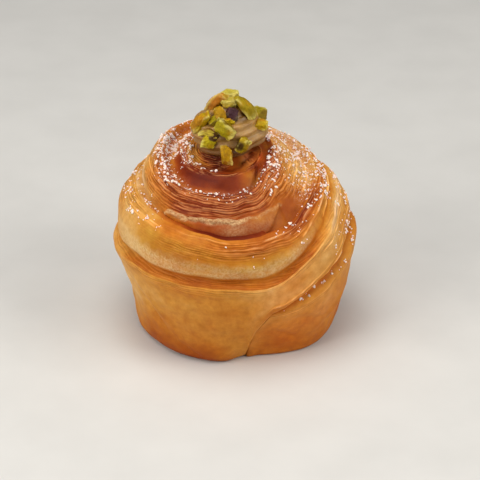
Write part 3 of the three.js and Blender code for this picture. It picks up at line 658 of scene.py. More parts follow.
def coil_measures(sections, azimuth):
    """For every point: its turn, its share of the way to the next crest, its distance below
    that crest and the length of the way. Also that length for every winding."""
    shape = sections.shape[:2]
    turn, share, below, span = (np.zeros(shape) for _ in range(4))
    lengths = np.zeros((shape[0], TURNS + 1))
    for k in range(TURNS + 1):
        rows = slice(k * WINDING_ROWS, (k + 1) * WINDING_ROWS + 1)
        steps = np.linalg.norm(np.diff(sections[:, rows], axis=1), axis=2)
        arc = np.concatenate([np.zeros((shape[0], 1)), np.cumsum(steps, axis=1)], 1)
        lengths[:, k] = arc[:, -1]
        turn[:, rows] = (azimuth / 360 + k - 1)[:, None]
        share[:, rows] = arc / np.maximum(arc[:, -1:], 1e-6)
        below[:, rows] = arc[:, -1:] - arc
        span[:, rows] = arc[:, -1:]
    return turn, share, below, span, lengths


def layer_mask(turn, share):
    """How much the cut edges of the layers show at each point, and how deep they are."""
    start, full, depth = np.moveaxis(along_stations(LAYERS, turn), -1, 0)
    patches = np.clip(0.6 + 0.8 * noise(turn * 15, share * 6, seed=21), 0.2, 1)
    edge = smoothstep(start, full, share) * (1 - over(BAND_LAYERS, turn) * (1 - patches))
    recess = 0.5 * smoothstep(0.2, 0.14, share) * over(BAND_RECESS, turn)
    plain = over(BAND_CREST, turn)
    fade = smoothstep(1.0 - 0.03 * plain, 0.97 - 0.07 * plain, share) * smoothstep(0.0, 0.02, share)
    return np.maximum(edge, recess) * fade, depth


def layer_edges(turn, below):
    """Irregular fine steps that run along the coil, about one layer of dough apart."""
    wander = 0.8 * noise(turn * 8, below * 0.3, seed=3) + 0.09 * noise(turn * 26, below * 0.6, seed=4)
    level = below / LAYER_PITCH + wander
    step = level - np.floor(level)
    strength = np.clip(0.45 + 0.6 * noise(np.floor(level) * 7.3, turn * 13, seed=5), 0.08, 1)
    return (np.abs(np.sin(math.pi * step)) ** 0.7 - 0.6) * strength


def flap_edge(turn):
    """How far up the way the loose flap of dough reaches, and where it is."""
    ragged = 0.012 + 0.008 * smoothstep(2.04, 2.0, turn)
    height = along_stations(FLAP_RIM, turn)[..., 0] + ragged * noise(turn * 150, 2.5, seed=7)
    return height, over(FLAP_SPAN, turn)


def flap_body(turn, share, edge):
    """Where the loose flap stands off the dough, between its rim and its slanted foot."""
    foot = along_stations(FLAP_FOOT, turn)[..., 0] + 0.006 * noise(turn * 120, 7.5, seed=17)
    low = np.maximum(foot, 0)
    full = low + 0.1 - 0.07 * smoothstep(-0.02, 0.06, foot)
    return over((low, full, edge - 0.008, edge + 0.008), share)


def raised_edges(rows, turn, share, span):
    """Thin torn edges, crumples or seams along the dough."""
    total = np.zeros(turn.shape)
    for start, low, end, high, width, out in rows:
        u = (turn - start) / (end - start)
        middle = low + (high - low) * u + 0.008 * noise(turn * 50, start * 50, seed=9)
        torn = 0.65 + 0.5 * noise(turn * 130, start * 50, seed=10)
        away = (share - middle) * span / width
        total += out * torn * over((0, 0.12, 0.88, 1), u) * np.exp(-away**2)
    return total


def wall_creases(turn, z):
    """Dents and creases of the side that stood in the tin."""
    total = np.zeros(turn.shape)
    azimuth = (turn + 1) * 360
    for a1, z1, a2, z2, width, out in WALL_CREASES:
        ax, az = (a2 - a1) * WALL_DEGREE, z2 - z1
        px, pz = (azimuth - a1) * WALL_DEGREE, z - z1
        u = np.clip((px * ax + pz * az) / (ax * ax + az * az), 0, 1)
        away = np.hypot(px - u * ax, pz - u * az)
        total += out * np.exp(-(away / width) ** 2) * (0.3 + 0.7 * np.sin(math.pi * u))
    return total * (turn < COIL_START / 360)


def coil_relief(points, turn, share, below, span):
    """How far the dough stands out of the plain coil at each point, in millimetres."""
    mask, depth = layer_mask(turn, share)
    relief = 0.5 * clouds(points, 13, 11, seed=1) + 0.2 * clouds(points, 4.5, 3.5, seed=2)
    relief += mask * depth * layer_edges(turn, below)
    relief += raised_edges(SLIVERS + CRUMPLES, turn, share, span)
    relief += wall_creases(turn, points[..., 2])
    edge, there = flap_edge(turn)
    relief += there * FLAP_RISE * flap_body(turn, share, edge)
    relief -= POCKET_DEPTH * over(POCKET_SPAN, turn) * over(POCKET_UP, share)
    under, width = FLAP_CRUMPLED
    crumpled = there * np.exp(-((share - edge + under) / width) ** 2)
    crumpled *= smoothstep(*FLAP_CRUMPLED_TO, turn)
    relief += crumpled * (0.4 + noise(turn * 150, share * 40, seed=8))
    return relief


def browning(turn, share, points):
    """How brown each point is baked, with painted light mixed in: shade in the sunk grooves, at the
    front seam and near the base's bottom edge, a highlight on the seam's lip and a sheen on the base's
    left edge.
    """
    levels = along_stations(BROWNING, turn)
    brown = levels[..., 0]
    for i, (low, high) in enumerate(zip(BROWNING_AT, BROWNING_AT[1:])):
        u = np.clip((share - low) / (high - low), 0, 1)
        brown = np.where(share > low, levels[..., i] * (1 - u) + levels[..., i + 1] * u, brown)
    groove, sunk = np.moveaxis(along_stations(FOLD, turn), -1, 0)[:2]
    # painted shade in the grooves, more where they are sunk
    groove_shade = np.exp(-((share - groove) / 0.07) ** 2) * smoothstep(0.5, -2, sunk)
    brown = brown + GROOVE_PAINTED_SHADE * groove_shade * (1 - over(BAND_GROOVE, turn))
    # spots baked more or less, and the painted highlight and shade of the front seam
    for *place, change in BAKED_AND_PAINTED_LIGHT_SPOTS:
        brown = brown + change * spot(turn, share, place)
    return brown + 0.07 * clouds(points, 9, 9, seed=21) + 0.05 * clouds(points, 3, 2, seed=22)


def flour(turn, share, points):
    """Pale floury places: the front band above its lip, and the rim and spots of the flap."""
    cloud = clouds(points, 2.2, 2.2, seed=31)
    lip = along_stations(FOLD, turn)[..., 2]
    low = smoothstep(lip - 0.02, lip + 0.06, share)
    high = smoothstep(lip + 0.36, lip + 0.18, share + 0.06 * cloud)
    left = 1 + 0.6 * smoothstep(0.93, 0.86, turn)
    spotted = 0.7 + 0.3 * cloud + 0.2 * clouds(points, 0.9, 0.9, seed=32)
    total = over(BAND_FLOUR, turn) * low * high * left * spotted
    edge, there = flap_edge(turn)
    wide = 0.1 + 0.04 * np.exp(-((turn - 1.985) / 0.03) ** 2) + 0.03 * cloud
    wide = wide - 0.04 * smoothstep(2.0, 2.04, turn)
    rim = over((edge - wide, edge - 0.5 * wide, edge - 0.002, edge + 0.01), share)
    total += 0.9 * rim * there * (0.4 + 0.6 * smoothstep(2.05, 2.01, turn))
    for *place, amount in FLOUR_SPOTS:
        total += amount * there * spot(turn, share, place)
    return np.clip(total, 0, 1)


def sugar_veil(turn, share):
    """How thickly the finest sugar lies at each point."""
    total = np.zeros(turn.shape)
    for start, end, middle, spread, count in SUGAR_DRIFTS:
        if start < VEIL_FROM:
            continue
        there = over((start - 0.03, start + 0.03, end - 0.03, end + 0.03), turn)
        thick = count / ((end - start) * spread * VEIL_FULL)
        thick *= VEIL_THIN if end < VEIL_THIN_TO else 1.0
        total += there * thick * np.exp(-0.5 * ((share - middle) / spread) ** 2)
    return np.clip(total, 0, 1)


def tint(turn, share):
    """How much redder or yellower the dough is at the same bake, as factors of its colour, with a
    painted sheen on the left edge of the base.
    """
    near = over(BAND_TINTED, turn) * over(BAND_TINTED_UP, share)
    total = 1 + near[..., None] * np.array(BAND_TINT)
    for row in TINTS_AND_PAINTED_SHEEN:
        total = total + spot(turn, share, row[:4])[..., None] * np.array(row[4:])
    return total


def bake_colour(brown):
    """The linear colour of dough that is so brown."""
    at, colours = zip(*BAKE_COLOURS)
    return np.stack([np.interp(brown, at, part) for part in linear(colours).T], -1)


def place_round(sections, azimuth):
    """From (radius, height) at an azimuth to x, y, z, with the crown's lean."""
    radius, height = np.moveaxis(sections, -1, 0)
    lean = smoothstep(LEAN_FROM, LEAN_TO, height)
    angle = np.radians(azimuth)[:, None]
    return np.stack([
        radius * np.sin(angle) + CROWN_LEAN[0] * lean,
        -radius * np.cos(angle) + CROWN_LEAN[1] * lean,
        np.maximum(height, 0),
    ], -1)


def push_out(sections, relief):
    """Moves each point of an upright section across its own outline."""
    way = np.gradient(sections, axis=1)
    way /= np.maximum(np.linalg.norm(way, axis=2, keepdims=True), 1e-6)
    outward = np.stack([way[..., 1], -way[..., 0]], -1)
    return sections + outward * relief[..., None]


def map_along_coil(obj, column, row, turn, below, lengths):
    """The coil's own map: along the dough, and across it from the crest down."""
    mesh = obj.data
    corner = np.empty(len(mesh.loops), np.int32)
    mesh.loops.foreach_get("vertex_index", corner)
    c, r = column[corner], row[corner]
    winding = np.repeat(r.reshape(-1, 4).min(axis=1), 4) // WINDING_ROWS
    across = np.where(r == winding * WINDING_ROWS, lengths[c, winding], below[c, r])
    across = np.where(r == (winding + 1) * WINDING_ROWS, 0.0, across)
    along = (turn[c, 0] + winding) * COIL_LENGTH_PER_TURN
    layer = mesh.uv_layers.new(name="coil")
    layer.data.foreach_set("uv", (np.stack([along, across], -1) * MM).astype(np.float32).ravel())


def make_pastry(material):
    azimuth = np.linspace(COIL_START, COIL_START + 360, COIL_COLUMNS + 1)
    sections = coil_sections(coil_controls(azimuth))
    turn, share, below, span, lengths = coil_measures(sections, azimuth)
    relief = coil_relief(place_round(sections, azimuth), turn, share, below, span)
    sections = push_out(sections, relief * smoothstep(*RELIEF_FROM, sections[..., 1]))
    points = place_round(sections, azimuth)
    obj, column, row = add_grid("laminated_pastry", COIL_COLUMNS, WINDING_ROWS * (TURNS + 1))
    for old in list(obj.data.uv_layers):
        obj.data.uv_layers.remove(old)
    map_along_coil(obj, column, row, turn, below, lengths)
    move_vertices(obj, points[column, row])
    brown = browning(turn, share, points)
    mask, _ = layer_mask(turn, share)
    torn = np.clip(raised_edges(SLIVERS, turn, share, span), *TORN_RANGE)
    marks = {
        # the bake's colour, partly painted shade, highlight and sheen through the browning and the
        # tints
        "bake": bake_colour(brown) * tint(turn, share),
        "layers": mask,
        # relief of the layers and torn edges, which the crust turns into painted shade where low and
        # painted highlight where high
        "steps": mask * layer_edges(turn, below) + 2 * torn,
        "flour": flour(turn, share, points),
        "veil": sugar_veil(turn, share),
        "gloss": smoothstep(*GLOSS_BROWN, brown) * smoothstep(*GLOSS_TURNS, turn),
    }
    for name, values in marks.items():
        store(obj, name, values[column, row])
    finish_surface(obj, material)
    return obj, points, share


# The cream

def rosette_reach(azimuth, elevation):
    """Distance from the rosette's eye to its surface in each direction, the outermost of
    all the turns of the strand there."""
    cos, sin = np.cos(elevation), np.sin(elevation)
    reach = np.minimum(CORE_RADIUS / np.maximum(cos, 0.05), CORE_HEIGHT)
    for k in range(-1, STRAND_TURNS + 1):
        turns = azimuth / (2 * math.pi) + k
        valid = (turns >= STRAND[0][0]) & (turns <= STRAND[-1][0])
        radius, height, thick = np.moveaxis(along_stations(STRAND, turns), -1, 0)
        height = height - CREAM_EYE
        for side in (1, -1):
            across = radius * side * cos + height * sin
            clear = (radius * side) ** 2 + height**2 - across**2
            hit = valid & (clear < thick**2)
            far = across + np.sqrt(np.maximum(thick**2 - clear, 0))
            round_strand = np.arctan2(far * sin - height, far * cos - radius * side)
            ribs = 1 + RIB_DEPTH * np.cos(STRAND_RIBS * round_strand)
            reach = np.where(hit, np.maximum(reach, across + (far - across) * ribs), reach)
    return reach


def make_cream(material):
    obj, column, row = add_grid("piped_cream", CREAM_COLUMNS, CREAM_ROWS)
    azimuth = 2 * math.pi * (column / CREAM_COLUMNS)
    lowest = math.radians(CREAM_FROM)
    elevation = lowest + (math.pi / 2 - lowest) * row / CREAM_ROWS
    reach = rosette_reach(azimuth, elevation)
    reach += CREAM_UNEVEN * noise(reach * np.cos(elevation) * np.cos(azimuth) / 2, elevation * 5,
                                  reach * np.sin(azimuth) / 2, seed=41)
    out, up = reach * np.cos(elevation), CREAM_EYE + reach * np.sin(elevation)
    up = np.maximum(up, -CREAM_SINKS)
    tip = row == CREAM_ROWS
    out = np.where(tip, 0, out)
    move_vertices(obj, np.stack([
        CROWN_LEAN[0] + out * np.sin(azimuth), CROWN_LEAN[1] - out * np.cos(azimuth),
        CREAM_FOOT + np.where(tip, up[tip].mean(), up),
    ], -1))
    finish_surface(obj, material)
    return obj


# The chopped pistachios

def chopped_block(name, random):
    """A cube of side 1 with its corners and sides chopped off as by a knife, in fine faces."""
    start_fresh()
    bpy.ops.mesh.primitive_cube_add(size=1)
    obj = named(bpy.context.object, name)
    edit(obj)
    for _ in range(CHOPS):
        way = random.normal(size=3)
        way /= np.linalg.norm(way)
        depth = 0.5 * (CHOP_LEAST + CHOP_RANGE * random.random())
        bpy.ops.mesh.select_all(action="SELECT")
        bpy.ops.mesh.bisect(plane_co=tuple(way * depth), plane_no=tuple(way), use_fill=True,
                            clear_outer=True, threshold=1e-5)
    bpy.ops.mesh.select_all(action="SELECT")
    bpy.ops.mesh.quads_convert_to_tris()
    bpy.ops.mesh.subdivide(number_cuts=5, smoothness=0)
    bpy.ops.mesh.remove_doubles(threshold=0.02)
    bpy.ops.mesh.vertices_smooth(factor=0.5, repeat=2)
    bpy.ops.mesh.normals_make_consistent(inside=False)
    bpy.ops.object.mode_set(mode="OBJECT")
    return obj


def nut_colour(kind, shaped, size, normal, far, random):
    """Colour at each vertex: flesh, its riper patches, the skin and a painted highlight along the
    edges. Also the rough and the fine noise of the surface."""
    flesh, skin, share, _ = PISTACHIO_KINDS[kind]
    rough, fine = clouds(far, 1.3, 1.3, seed=51), clouds(far, 0.5, 0.5, seed=52)
    two_out = np.sort(np.abs(shaped) / (0.5 * size), axis=1)[:, 1:].sum(axis=1)
    # the edges, where two sides are near their outside, which get a painted highlight
    edge = smoothstep(1.45, 1.85, two_out + 0.2 * fine)
    skin_side = random.normal(size=3) + np.array([0, -0.8, 0.8])
    skin_side /= np.linalg.norm(skin_side)
    border = 1 - 1.6 * share
    skinned = smoothstep(border - 0.15, border + 0.15, normal @ skin_side + 0.3 * rough)
    if kind == "dark_heart":
        from_middle = np.hypot(shaped[:, 0] / size[0], shaped[:, 2] / size[2] - 0.3)
        skinned = smoothstep(0.42, 0.22, from_middle + 0.08 * rough)
    ripe = 0.6 * smoothstep(0.0, 0.7, clouds(far, 2.6, 2.6, seed=54))
    if kind in ("purple_skin", "dark_skin_and_shade"):
        ripe, edge = 0 * ripe, 0.15 * edge
    colour = linear(flesh)
    for other, amount in ((RIPE, ripe), (skin, skinned), (PAINTED_EDGE_HIGHLIGHT, 0.5 * edge)):
        colour = colour + (linear(other) - colour) * amount[:, None]
    tone = 1 + 0.22 * clouds(far, 1.8, 1.8, seed=53) + 0.12 * fine
    return np.clip(colour * tone[:, None], 0, 1), rough, fine


def turned(shape, azimuth, turn):
    """Turns a shape in its broad face's plane and then round to its azimuth."""
    a, t = math.radians(azimuth), math.radians(turn)
    tilt = np.array([[math.cos(t), 0, math.sin(t)], [0, 1, 0], [-math.sin(t), 0, math.cos(t)]])
    spin = np.array([[math.cos(a), -math.sin(a), 0], [math.sin(a), math.cos(a), 0], [0, 0, 1]])
    return shape @ tilt.T @ spin.T


def make_pistachio(number, spec, random):
    azimuth, reach, height, length, width, thick, facing, turn, kind = spec
    obj = chopped_block(f"pistachio_{number}", random)
    size = np.array([length, thick, width])
    co = vertices_of(obj)
    low, high = co.min(axis=0), co.max(axis=0)
    shaped = ((co - low) / (high - low) - 0.5) * size
    normal = np.empty(len(co) * 3, np.float32)
    obj.data.vertex_normals.foreach_get("vector", normal)
    normal = normal.reshape(-1, 3).astype(float)
    colour, rough, fine = nut_colour(kind, shaped, size, normal, shaped + NUT_APART * number, random)
    store(obj, "nut", colour)
    shaped = shaped + normal * (NUT_ROUGH * rough + NUT_FINE * fine)[:, None]
    shaped[:, 2] -= PISTACHIO_KINDS[kind][3] * (2 * shaped[:, 0] / length) ** 2
    a = math.radians(azimuth)
    middle = (CROWN_LEAN[0] + reach * math.sin(a), CROWN_LEAN[1] - reach * math.cos(a), height)
    move_vertices(obj, turned(shaped, facing, turn) + middle)
    return obj


def make_pistachios(material):
    random = np.random.default_rng(PISTACHIO_SEED)
    nuts = [make_pistachio(i, spec, random) for i, spec in enumerate(PISTACHIOS)]
    choose(nuts[0])
    for nut in nuts:
        nut.select_set(True)
    bpy.ops.object.join()
    obj = named(bpy.context.object, "chopped_pistachios")
    bpy.ops.object.shade_smooth_by_angle(angle=math.radians(NUT_EDGE))
    obj.data.materials.append(material)
    return obj


# The icing sugar

def on_coil(points, share, turn, at):
    """The point of the coil at a turn and a share of the way, and its normal."""
    winding = int(math.floor(turn - COIL_START / 360)) + 1
    column = (turn - winding + 1 - COIL_START / 360) * COIL_COLUMNS
    c = min(max(int(column), 1), COIL_COLUMNS - 1)
    rows = slice(winding * WINDING_ROWS, (winding + 1) * WINDING_ROWS + 1)
    r = winding * WINDING_ROWS + int(np.searchsorted(share[c, rows], np.clip(at, 0.001, 0.999)))
    r = min(max(r, 1), points.shape[1] - 2)
    normal = np.cross(points[c + 1, r] - points[c - 1, r], points[c, r + 1] - points[c, r - 1])
    return points[c, r], normal / max(np.linalg.norm(normal), 1e-9)


def sugar_clump(grain, place, up, random):
    """The grains of one clump: small balls, squashed and jittered, side by side."""
    side = np.cross(up, random.normal(size=3))
    side /= np.linalg.norm(side)
    other = np.cross(up, side)
    reach = CLUMP_LEAST + CLUMP_RANGE * random.random() ** 2.3
    grains = []
    for _ in range(1 + random.poisson(GRAINS_MEAN + GRAINS_MORE * reach)):
        shift = (side * random.normal() + other * random.normal()) * reach * GRAIN_APART
        size = reach * (GRAIN_LEAST + GRAIN_RANGE * random.random())
        jitter = 1 + GRAIN_JITTER * (random.random(grain.shape) - 0.5)
        ball = grain * jitter * size * np.array(GRAIN_SHAPE)
        middle = place + shift + up * size * GRAIN_LIFT
        grains.append(ball @ np.stack([side, other, up]) + middle)
    return grains


def make_sugar(points, share, material):
    random = np.random.default_rng(SUGAR_SEED)
    start_fresh()
    bpy.ops.mesh.primitive_ico_sphere_add(subdivisions=1, radius=1)
    obj = named(bpy.context.object, "icing_sugar")
    ball = obj.data
    grain = vertices_of(obj) * MM
    faces = np.array([tuple(p.vertices) for p in ball.polygons])
    grains = []
    for start, end, middle, spread, count in SUGAR_DRIFTS:
        for _ in range(count):
            turn = start + (end - start) * random.random()
            place, up = on_coil(points, share, turn, middle + spread * random.normal())
            if up[2] >= STEEPEST_SUGAR:
                grains += sugar_clump(grain, place, up, random)
    all_faces = np.concatenate([faces + i * len(grain) for i in range(len(grains))])
    obj.data = bpy.data.meshes.new("icing_sugar_grains")
    obj.data.from_pydata((np.concatenate(grains) * MM).tolist(), [], all_faces.tolist())
    bpy.data.meshes.remove(ball)
    named(obj, "icing_sugar")
    choose(obj)
    bpy.ops.object.shade_smooth()
    obj.data.materials.append(material)
    return obj


# Materials

class Shader:
    """A node material, written one node at a time."""

    def __init__(self, name):
        self.material = bpy.data.materials.new(name)
        self.material.use_nodes = True
        self.tree = self.material.node_tree
        self.surface = self.tree.nodes["Principled BSDF"]

    def put(self, socket, value):
        if isinstance(value, bpy.types.NodeSocket):
            self.tree.links.new(value, socket)
        else:
            socket.default_value = value

    def set(self, **values):
        """Fills sockets of the surface, such as base_color."""
        for key, value in values.items():
            self.put(self.surface.inputs[key.replace("_", " ").title().replace("Ior", "IOR")], value)

    def node(self, kind, inputs=(), **settings):
        """The outputs of a new node, its inputs filled by name or number."""
        made = self.tree.nodes.new(kind)
        for key, value in settings.items():
            setattr(made, key, value)
        for key, value in dict(inputs).items():
            self.put(made.inputs[key], value)
        return made.outputs

    def attribute(self, name, colour=False):
        return self.node("ShaderNodeAttribute", attribute_name=name)["Color" if colour else "Fac"]

    def place(self):
        """The place of the point in metres."""
        return self.node("ShaderNodeTexCoord")["Object"]

    def on_coil(self, along=1, across=1):
        """The coil's own map, in steps of so many millimetres along the dough and across."""
        source = self.node("ShaderNodeUVMap", uv_map="coil")["UV"]
        scale = (1 / (along * MM), 1 / (across * MM), 1)
        return self.node("ShaderNodeMapping", {"Vector": source, "Scale": scale})["Vector"]

    def parts(self, vector):
        return self.node("ShaderNodeSeparateXYZ", {0: vector})

    def noise(self, vector, scale, detail=3.0, roughness=0.6):
        """Noise with so many patches to the vector's unit."""
        inputs = {"Vector": vector, "Scale": scale, "Detail": detail, "Roughness": roughness}
        return self.node("ShaderNodeTexNoise", inputs)["Fac"]

    def flat_noise(self, x, y):
        vector = self.node("ShaderNodeCombineXYZ", {0: x, 1: y})[0]
        return self.noise(vector, 1, 2)

    def math(self, operation, *values, clamp=False):
        return self.node("ShaderNodeMath", enumerate(values), operation=operation, use_clamp=clamp)[0]

    def plus(self, total, *others):
        for other in others:
            total = self.math("ADD", total, other)
        return total

    def times(self, total, *others):
        for other in others:
            total = self.math("MULTIPLY", total, other)
        return total

    def map(self, value, low, high, to_low=0.0, to_high=1.0):
        return self.node("ShaderNodeMapRange", enumerate((value, low, high, to_low, to_high)))["Result"]

    def near(self, value, middle, out, full):
        """1 where a value is within full of the middle, and 0 where it is past out."""
        return self.map(self.math("ABSOLUTE", self.math("SUBTRACT", value, middle)), out, full)

    def mix(self, factor, a, b, blend="MIX"):
        inputs = {"Factor": factor, "A": a, "B": b}
        return self.node("ShaderNodeMix", inputs, data_type="RGBA", blend_type=blend)["Result"]

    def mottled(self, noise, a, b):
        """Two colours in the patches of a noise."""
        return self.mix(self.map(noise, 0.3, 0.7), a, b)

    def multiplied(self, colour, factors):
        return self.mix(1.0, colour, factors, "MULTIPLY")

    def bump(self, height, distance, strength, normal=None):
        """The normal over relief that is so many millimetres high."""
        inputs = {"Height": height, "Distance": distance * MM, "Strength": strength}
        if normal is not None:
            inputs["Normal"] = normal
        return self.node("ShaderNodeBump", inputs)["Normal"]


def srgb(colour):
    return (*linear(colour).tolist(), 1.0)


def layer_lines(s, layers, gloss):
    """The thin layers of dough along the coil: the painted shade in each gap, the painted highlight on
    each edge and the rise of each, with torn streaks. Layers are weaker or stronger from place to
    place."""
    along, below, _ = s.parts(s.on_coil())
    sway, shake = s.noise(s.on_coil(20, 6), 1, 2, 0.5), s.noise(s.on_coil(4, 2), 1, 3)
    level = s.plus(s.math("DIVIDE", below, FINE_LAYER_PITCH), s.times(sway, 3.4), s.times(shake, 0.35))
    part, number = s.math("FRACT", level), s.math("FLOOR", level)
    strength = s.flat_noise(s.math("DIVIDE", along, 8.0), s.times(number, 7.7))
    streak = s.flat_noise(s.math("DIVIDE", along, 9.0), s.times(level, 1.15))

    def lines(at, strong, streaked, glossy):
        line = s.times(s.near(part, *at), s.map(strength, *strong))
        line = s.math("MAXIMUM", line, s.map(streak, *streaked))
        return s.times(layers, s.map(gloss, 0, 1, *glossy), line)

    # gap: painted shade between the layers; edge: painted highlight on their edges
    gap = lines((0.16, 0.17, 0.06), (0.4, 0.56), (0.42, 0.35, 0.0, 0.75), (0.42, 0.85))
    edge = lines((0.6, 0.24, 0.12), (0.56, 0.44), (0.59, 0.66), (0.5, 0.8))
    rise = s.math("POWER", s.math("SINE", s.times(part, math.pi)), 0.7)
    return gap, edge, s.times(layers, s.map(strength, 0.35, 0.65, 0.15, 1.0), rise)


def crust_material():
    s = Shader("baked_crust")
    place, bake = s.place(), s.attribute("bake", colour=True)
    names = ("layers", "flour", "steps", "gloss", "veil")
    layers, floury, steps, gloss, veil = (s.attribute(name) for name in names)
    mottle = s.noise(place, 420, 5)
    gap, edge, rise = layer_lines(s, layers, gloss)
    # colour
    tone = s.mottled(mottle, (0.87, 0.79, 0.68, 1), (1.11, 1.17, 1.32, 1))
    wide = s.mottled(s.noise(place, 110, 3, 0.5), (0.93, 0.87, 0.8, 1), (1.06, 1.1, 1.2, 1))
    # painted shade: the bake darkened
    shaded_bake = s.multiplied(bake, (0.56, 0.36, 0.25, 1))
    # painted highlight: the bake lightened
    lit_bake = s.mix(1.0, bake, (0.3, 0.15, 0.052, 1), "ADD")
    pale = s.mix(1.0, bake, (0.34, 0.28, 0.16, 1), "ADD")
    grain = s.map(s.noise(place, 1400, 4, 0.65), 0.4, 0.58, 0.35, 1.0)
    dust = s.math("MULTIPLY", floury, grain, clamp=True)
    speck = s.times(s.map(s.noise(place, 1500, 3, 0.7), 0.5, 0.58), veil)
    colour = s.multiplied(s.multiplied(bake, tone), wide)
    # painted shade where the relief is low and in the gaps, painted highlight where it is high and on
    # the edges of layers, paler still on the highest torn edges; then flour and sugar
    for amount, other in (
        (s.map(steps, -0.05, -0.5, 0.0, 0.5), shaded_bake),
        (s.map(steps, 0.14, 0.4, 0.0, 0.6), lit_bake),
        (s.times(s.map(steps, 0.5, 0.9), s.map(gloss, 0, 1, 0.9, 0.2)), pale),
        (edge, lit_bake),
        (gap, shaded_bake),
        (s.times(dust, 0.72), srgb(FLOUR_COLOUR)),
        (s.times(speck, 0.7), srgb(VEIL_COLOUR)),
    ):
        colour = s.mix(amount, colour, other)
    # relief, from wide to fine
    freckle = s.noise(place, 1700, 4, 0.65)
    normal = s.bump(s.plus(s.times(mottle, 0.3), s.times(freckle, 0.12)), 0.6, 0.5)
    normal = s.bump(rise, 0.45, 0.9, normal)
    normal = s.bump(s.times(s.noise(place, 3200), floury), 0.3, 0.6, normal)
    rough = s.plus(s.map(mottle, 0.3, 0.7, 0.5, 0.66), s.times(floury, 0.25))
    s.set(base_color=colour, roughness=s.math("SUBTRACT", rough, s.times(gloss, 0.08)),
          normal=normal, specular_ior_level=0.14, subsurface_weight=0.1,
          subsurface_radius=(1.0, 0.4, 0.15), subsurface_scale=0.8 * MM)
    return s.material


def cream_material():
    s = Shader("piped_cream")
    place = s.place()
    mottle, fine = s.noise(place, 300, 4), s.noise(place, 1600)
    colour = s.mottled(mottle, srgb((152, 110, 50)), srgb((178, 137, 73)))
    # painted shade between the nuts and under them
    for x, y, z, reach in CREAM_PAINTED_SHADES:
        middle = (x * MM, y * MM, z * MM)
        away = s.node("ShaderNodeVectorMath", {0: place, 1: middle}, operation="DISTANCE")["Value"]
        amount = s.map(away, reach * MM, 0.3 * reach * MM)
        colour = s.mix(amount, colour, s.multiplied(colour, (0.42, 0.37, 0.22, 1)))
    # painted shade, darker towards the foot of the rosette
    low = s.map(s.parts(place)[2], CREAM_FOOT_PAINTED_SHADE[1] * MM, CREAM_FOOT_PAINTED_SHADE[0] * MM)
    colour = s.mix(low, colour, s.multiplied(colour, (0.5, 0.36, 0.2, 1)))
    s.set(base_color=colour, roughness=s.map(fine, 0.3, 0.7, 0.34, 0.5),
          normal=s.bump(s.plus(mottle, s.times(fine, 0.4)), 0.4, 0.4), subsurface_weight=0.25,
          subsurface_radius=(1.0, 0.6, 0.3), subsurface_scale=1.5 * MM)
    return s.material


def pistachio_material():
    s = Shader("chopped_pistachio")
    grain, fine = s.noise(s.place(), 900, 5, 0.65), s.noise(s.place(), 3500)
    tone = s.map(grain, 0.3, 0.7, 0.72, 1.15)
    s.set(base_color=s.multiplied(s.attribute("nut", colour=True), tone),
          roughness=s.map(fine, 0.3, 0.7, 0.38, 0.6),
          normal=s.bump(s.plus(grain, s.times(fine, 0.35)), 0.45, 0.8),
          specular_ior_level=0.14, subsurface_weight=0.06,
          subsurface_radius=(1.0, 0.9, 0.2), subsurface_scale=1.2 * MM)
    return s.material


def sugar_material():
    s = Shader("icing_sugar")
    fine = s.noise(s.place(), 5000)
    s.set(base_color=s.mottled(fine, srgb((244, 216, 204)), srgb((254, 236, 226))),
          roughness=0.8, normal=s.bump(fine, 0.2, 0.5),
          subsurface_weight=0.2, subsurface_scale=0.6 * MM)
    return s.material


def floor_material():
    s = Shader("pale_floor")
    fine = s.noise(s.place(), 40, 3, 0.5)
    s.set(base_color=s.mottled(fine, srgb((206, 204, 199)), srgb((211, 209, 204))), roughness=0.7)
    return s.material


# Camera, floor and light

CAMERA_AIM = (1.5, 0.0, 34.0)
CAMERA_ELEVATION = 29.0
CAMERA_DISTANCE = 800.0
CAMERA_LENS = 164.0
LIGHT_AIM = (0, 0, 0.05)
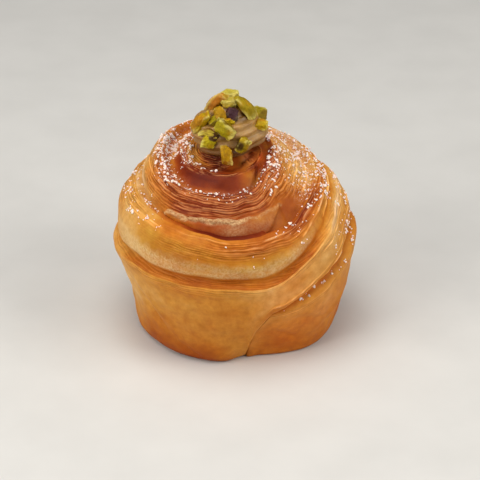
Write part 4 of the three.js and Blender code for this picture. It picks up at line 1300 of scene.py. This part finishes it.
# Softboxes: name, place, size, power, colour
SOFTBOXES = (
    ("top", (-0.1, -0.12, 0.95), 0.6, 5.4, (1.0, 0.99, 0.97)),
    ("left", (-0.62, -0.42, 0.42), 0.5, 4.2, (1.0, 0.98, 0.95)),
    ("right", (0.66, -0.3, 0.5), 0.5, 4.0, (1.0, 0.98, 0.95)),
)


def add_camera():
    elevation = math.radians(CAMERA_ELEVATION)
    x, y, z = CAMERA_AIM
    y -= CAMERA_DISTANCE * math.cos(elevation)
    z += CAMERA_DISTANCE * math.sin(elevation)
    start_fresh()
    bpy.ops.object.camera_add(
        location=(x * MM, y * MM, z * MM), rotation=(math.pi / 2 - elevation, 0, 0))
    camera = bpy.context.object
    camera.name = "camera"
    camera.data.lens = CAMERA_LENS
    camera.data.sensor_width = 36
    camera.data.clip_start, camera.data.clip_end = 0.05, 20
    bpy.context.scene.camera = camera


def add_floor():
    start_fresh()
    bpy.ops.mesh.primitive_plane_add(size=12, location=(0, 3, 0))
    floor = named(bpy.context.object, "floor")
    floor.data.materials.append(floor_material())


def add_softbox(name, place, size, power, colour):
    start_fresh()
    bpy.ops.object.light_add(type="AREA", location=place)
    lamp = bpy.context.object
    lamp.name = name
    way = np.array(LIGHT_AIM) - np.array(place)
    way = way / np.linalg.norm(way)
    lamp.rotation_euler = (math.acos(-way[2]), 0, math.atan2(way[1], way[0]) - math.pi / 2)
    lamp.data.shape = "SQUARE"
    lamp.data.size = size
    lamp.data.energy = power
    lamp.data.color = colour


def add_light():
    for softbox in SOFTBOXES:
        add_softbox(*softbox)
    world = bpy.data.worlds.new("studio")
    world.use_nodes = True
    background = world.node_tree.nodes["Background"]
    background.inputs["Color"].default_value = (0.98, 0.98, 1.0, 1)
    background.inputs["Strength"].default_value = 0.2
    bpy.context.scene.world = world


add_camera()
add_floor()
add_light()
bpy.context.scene.view_settings.view_transform = "Standard"

pastry, coil_points, coil_share = make_pastry(crust_material())
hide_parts("pastry")
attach(pastry, "root")

cream = make_cream(cream_material())
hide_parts("cream")
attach(cream, "root")

pistachios = make_pistachios(pistachio_material())
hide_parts("cream")
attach(pistachios, "root")

sugar = make_sugar(coil_points, coil_share, sugar_material())
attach(sugar, "root")

start_fresh()
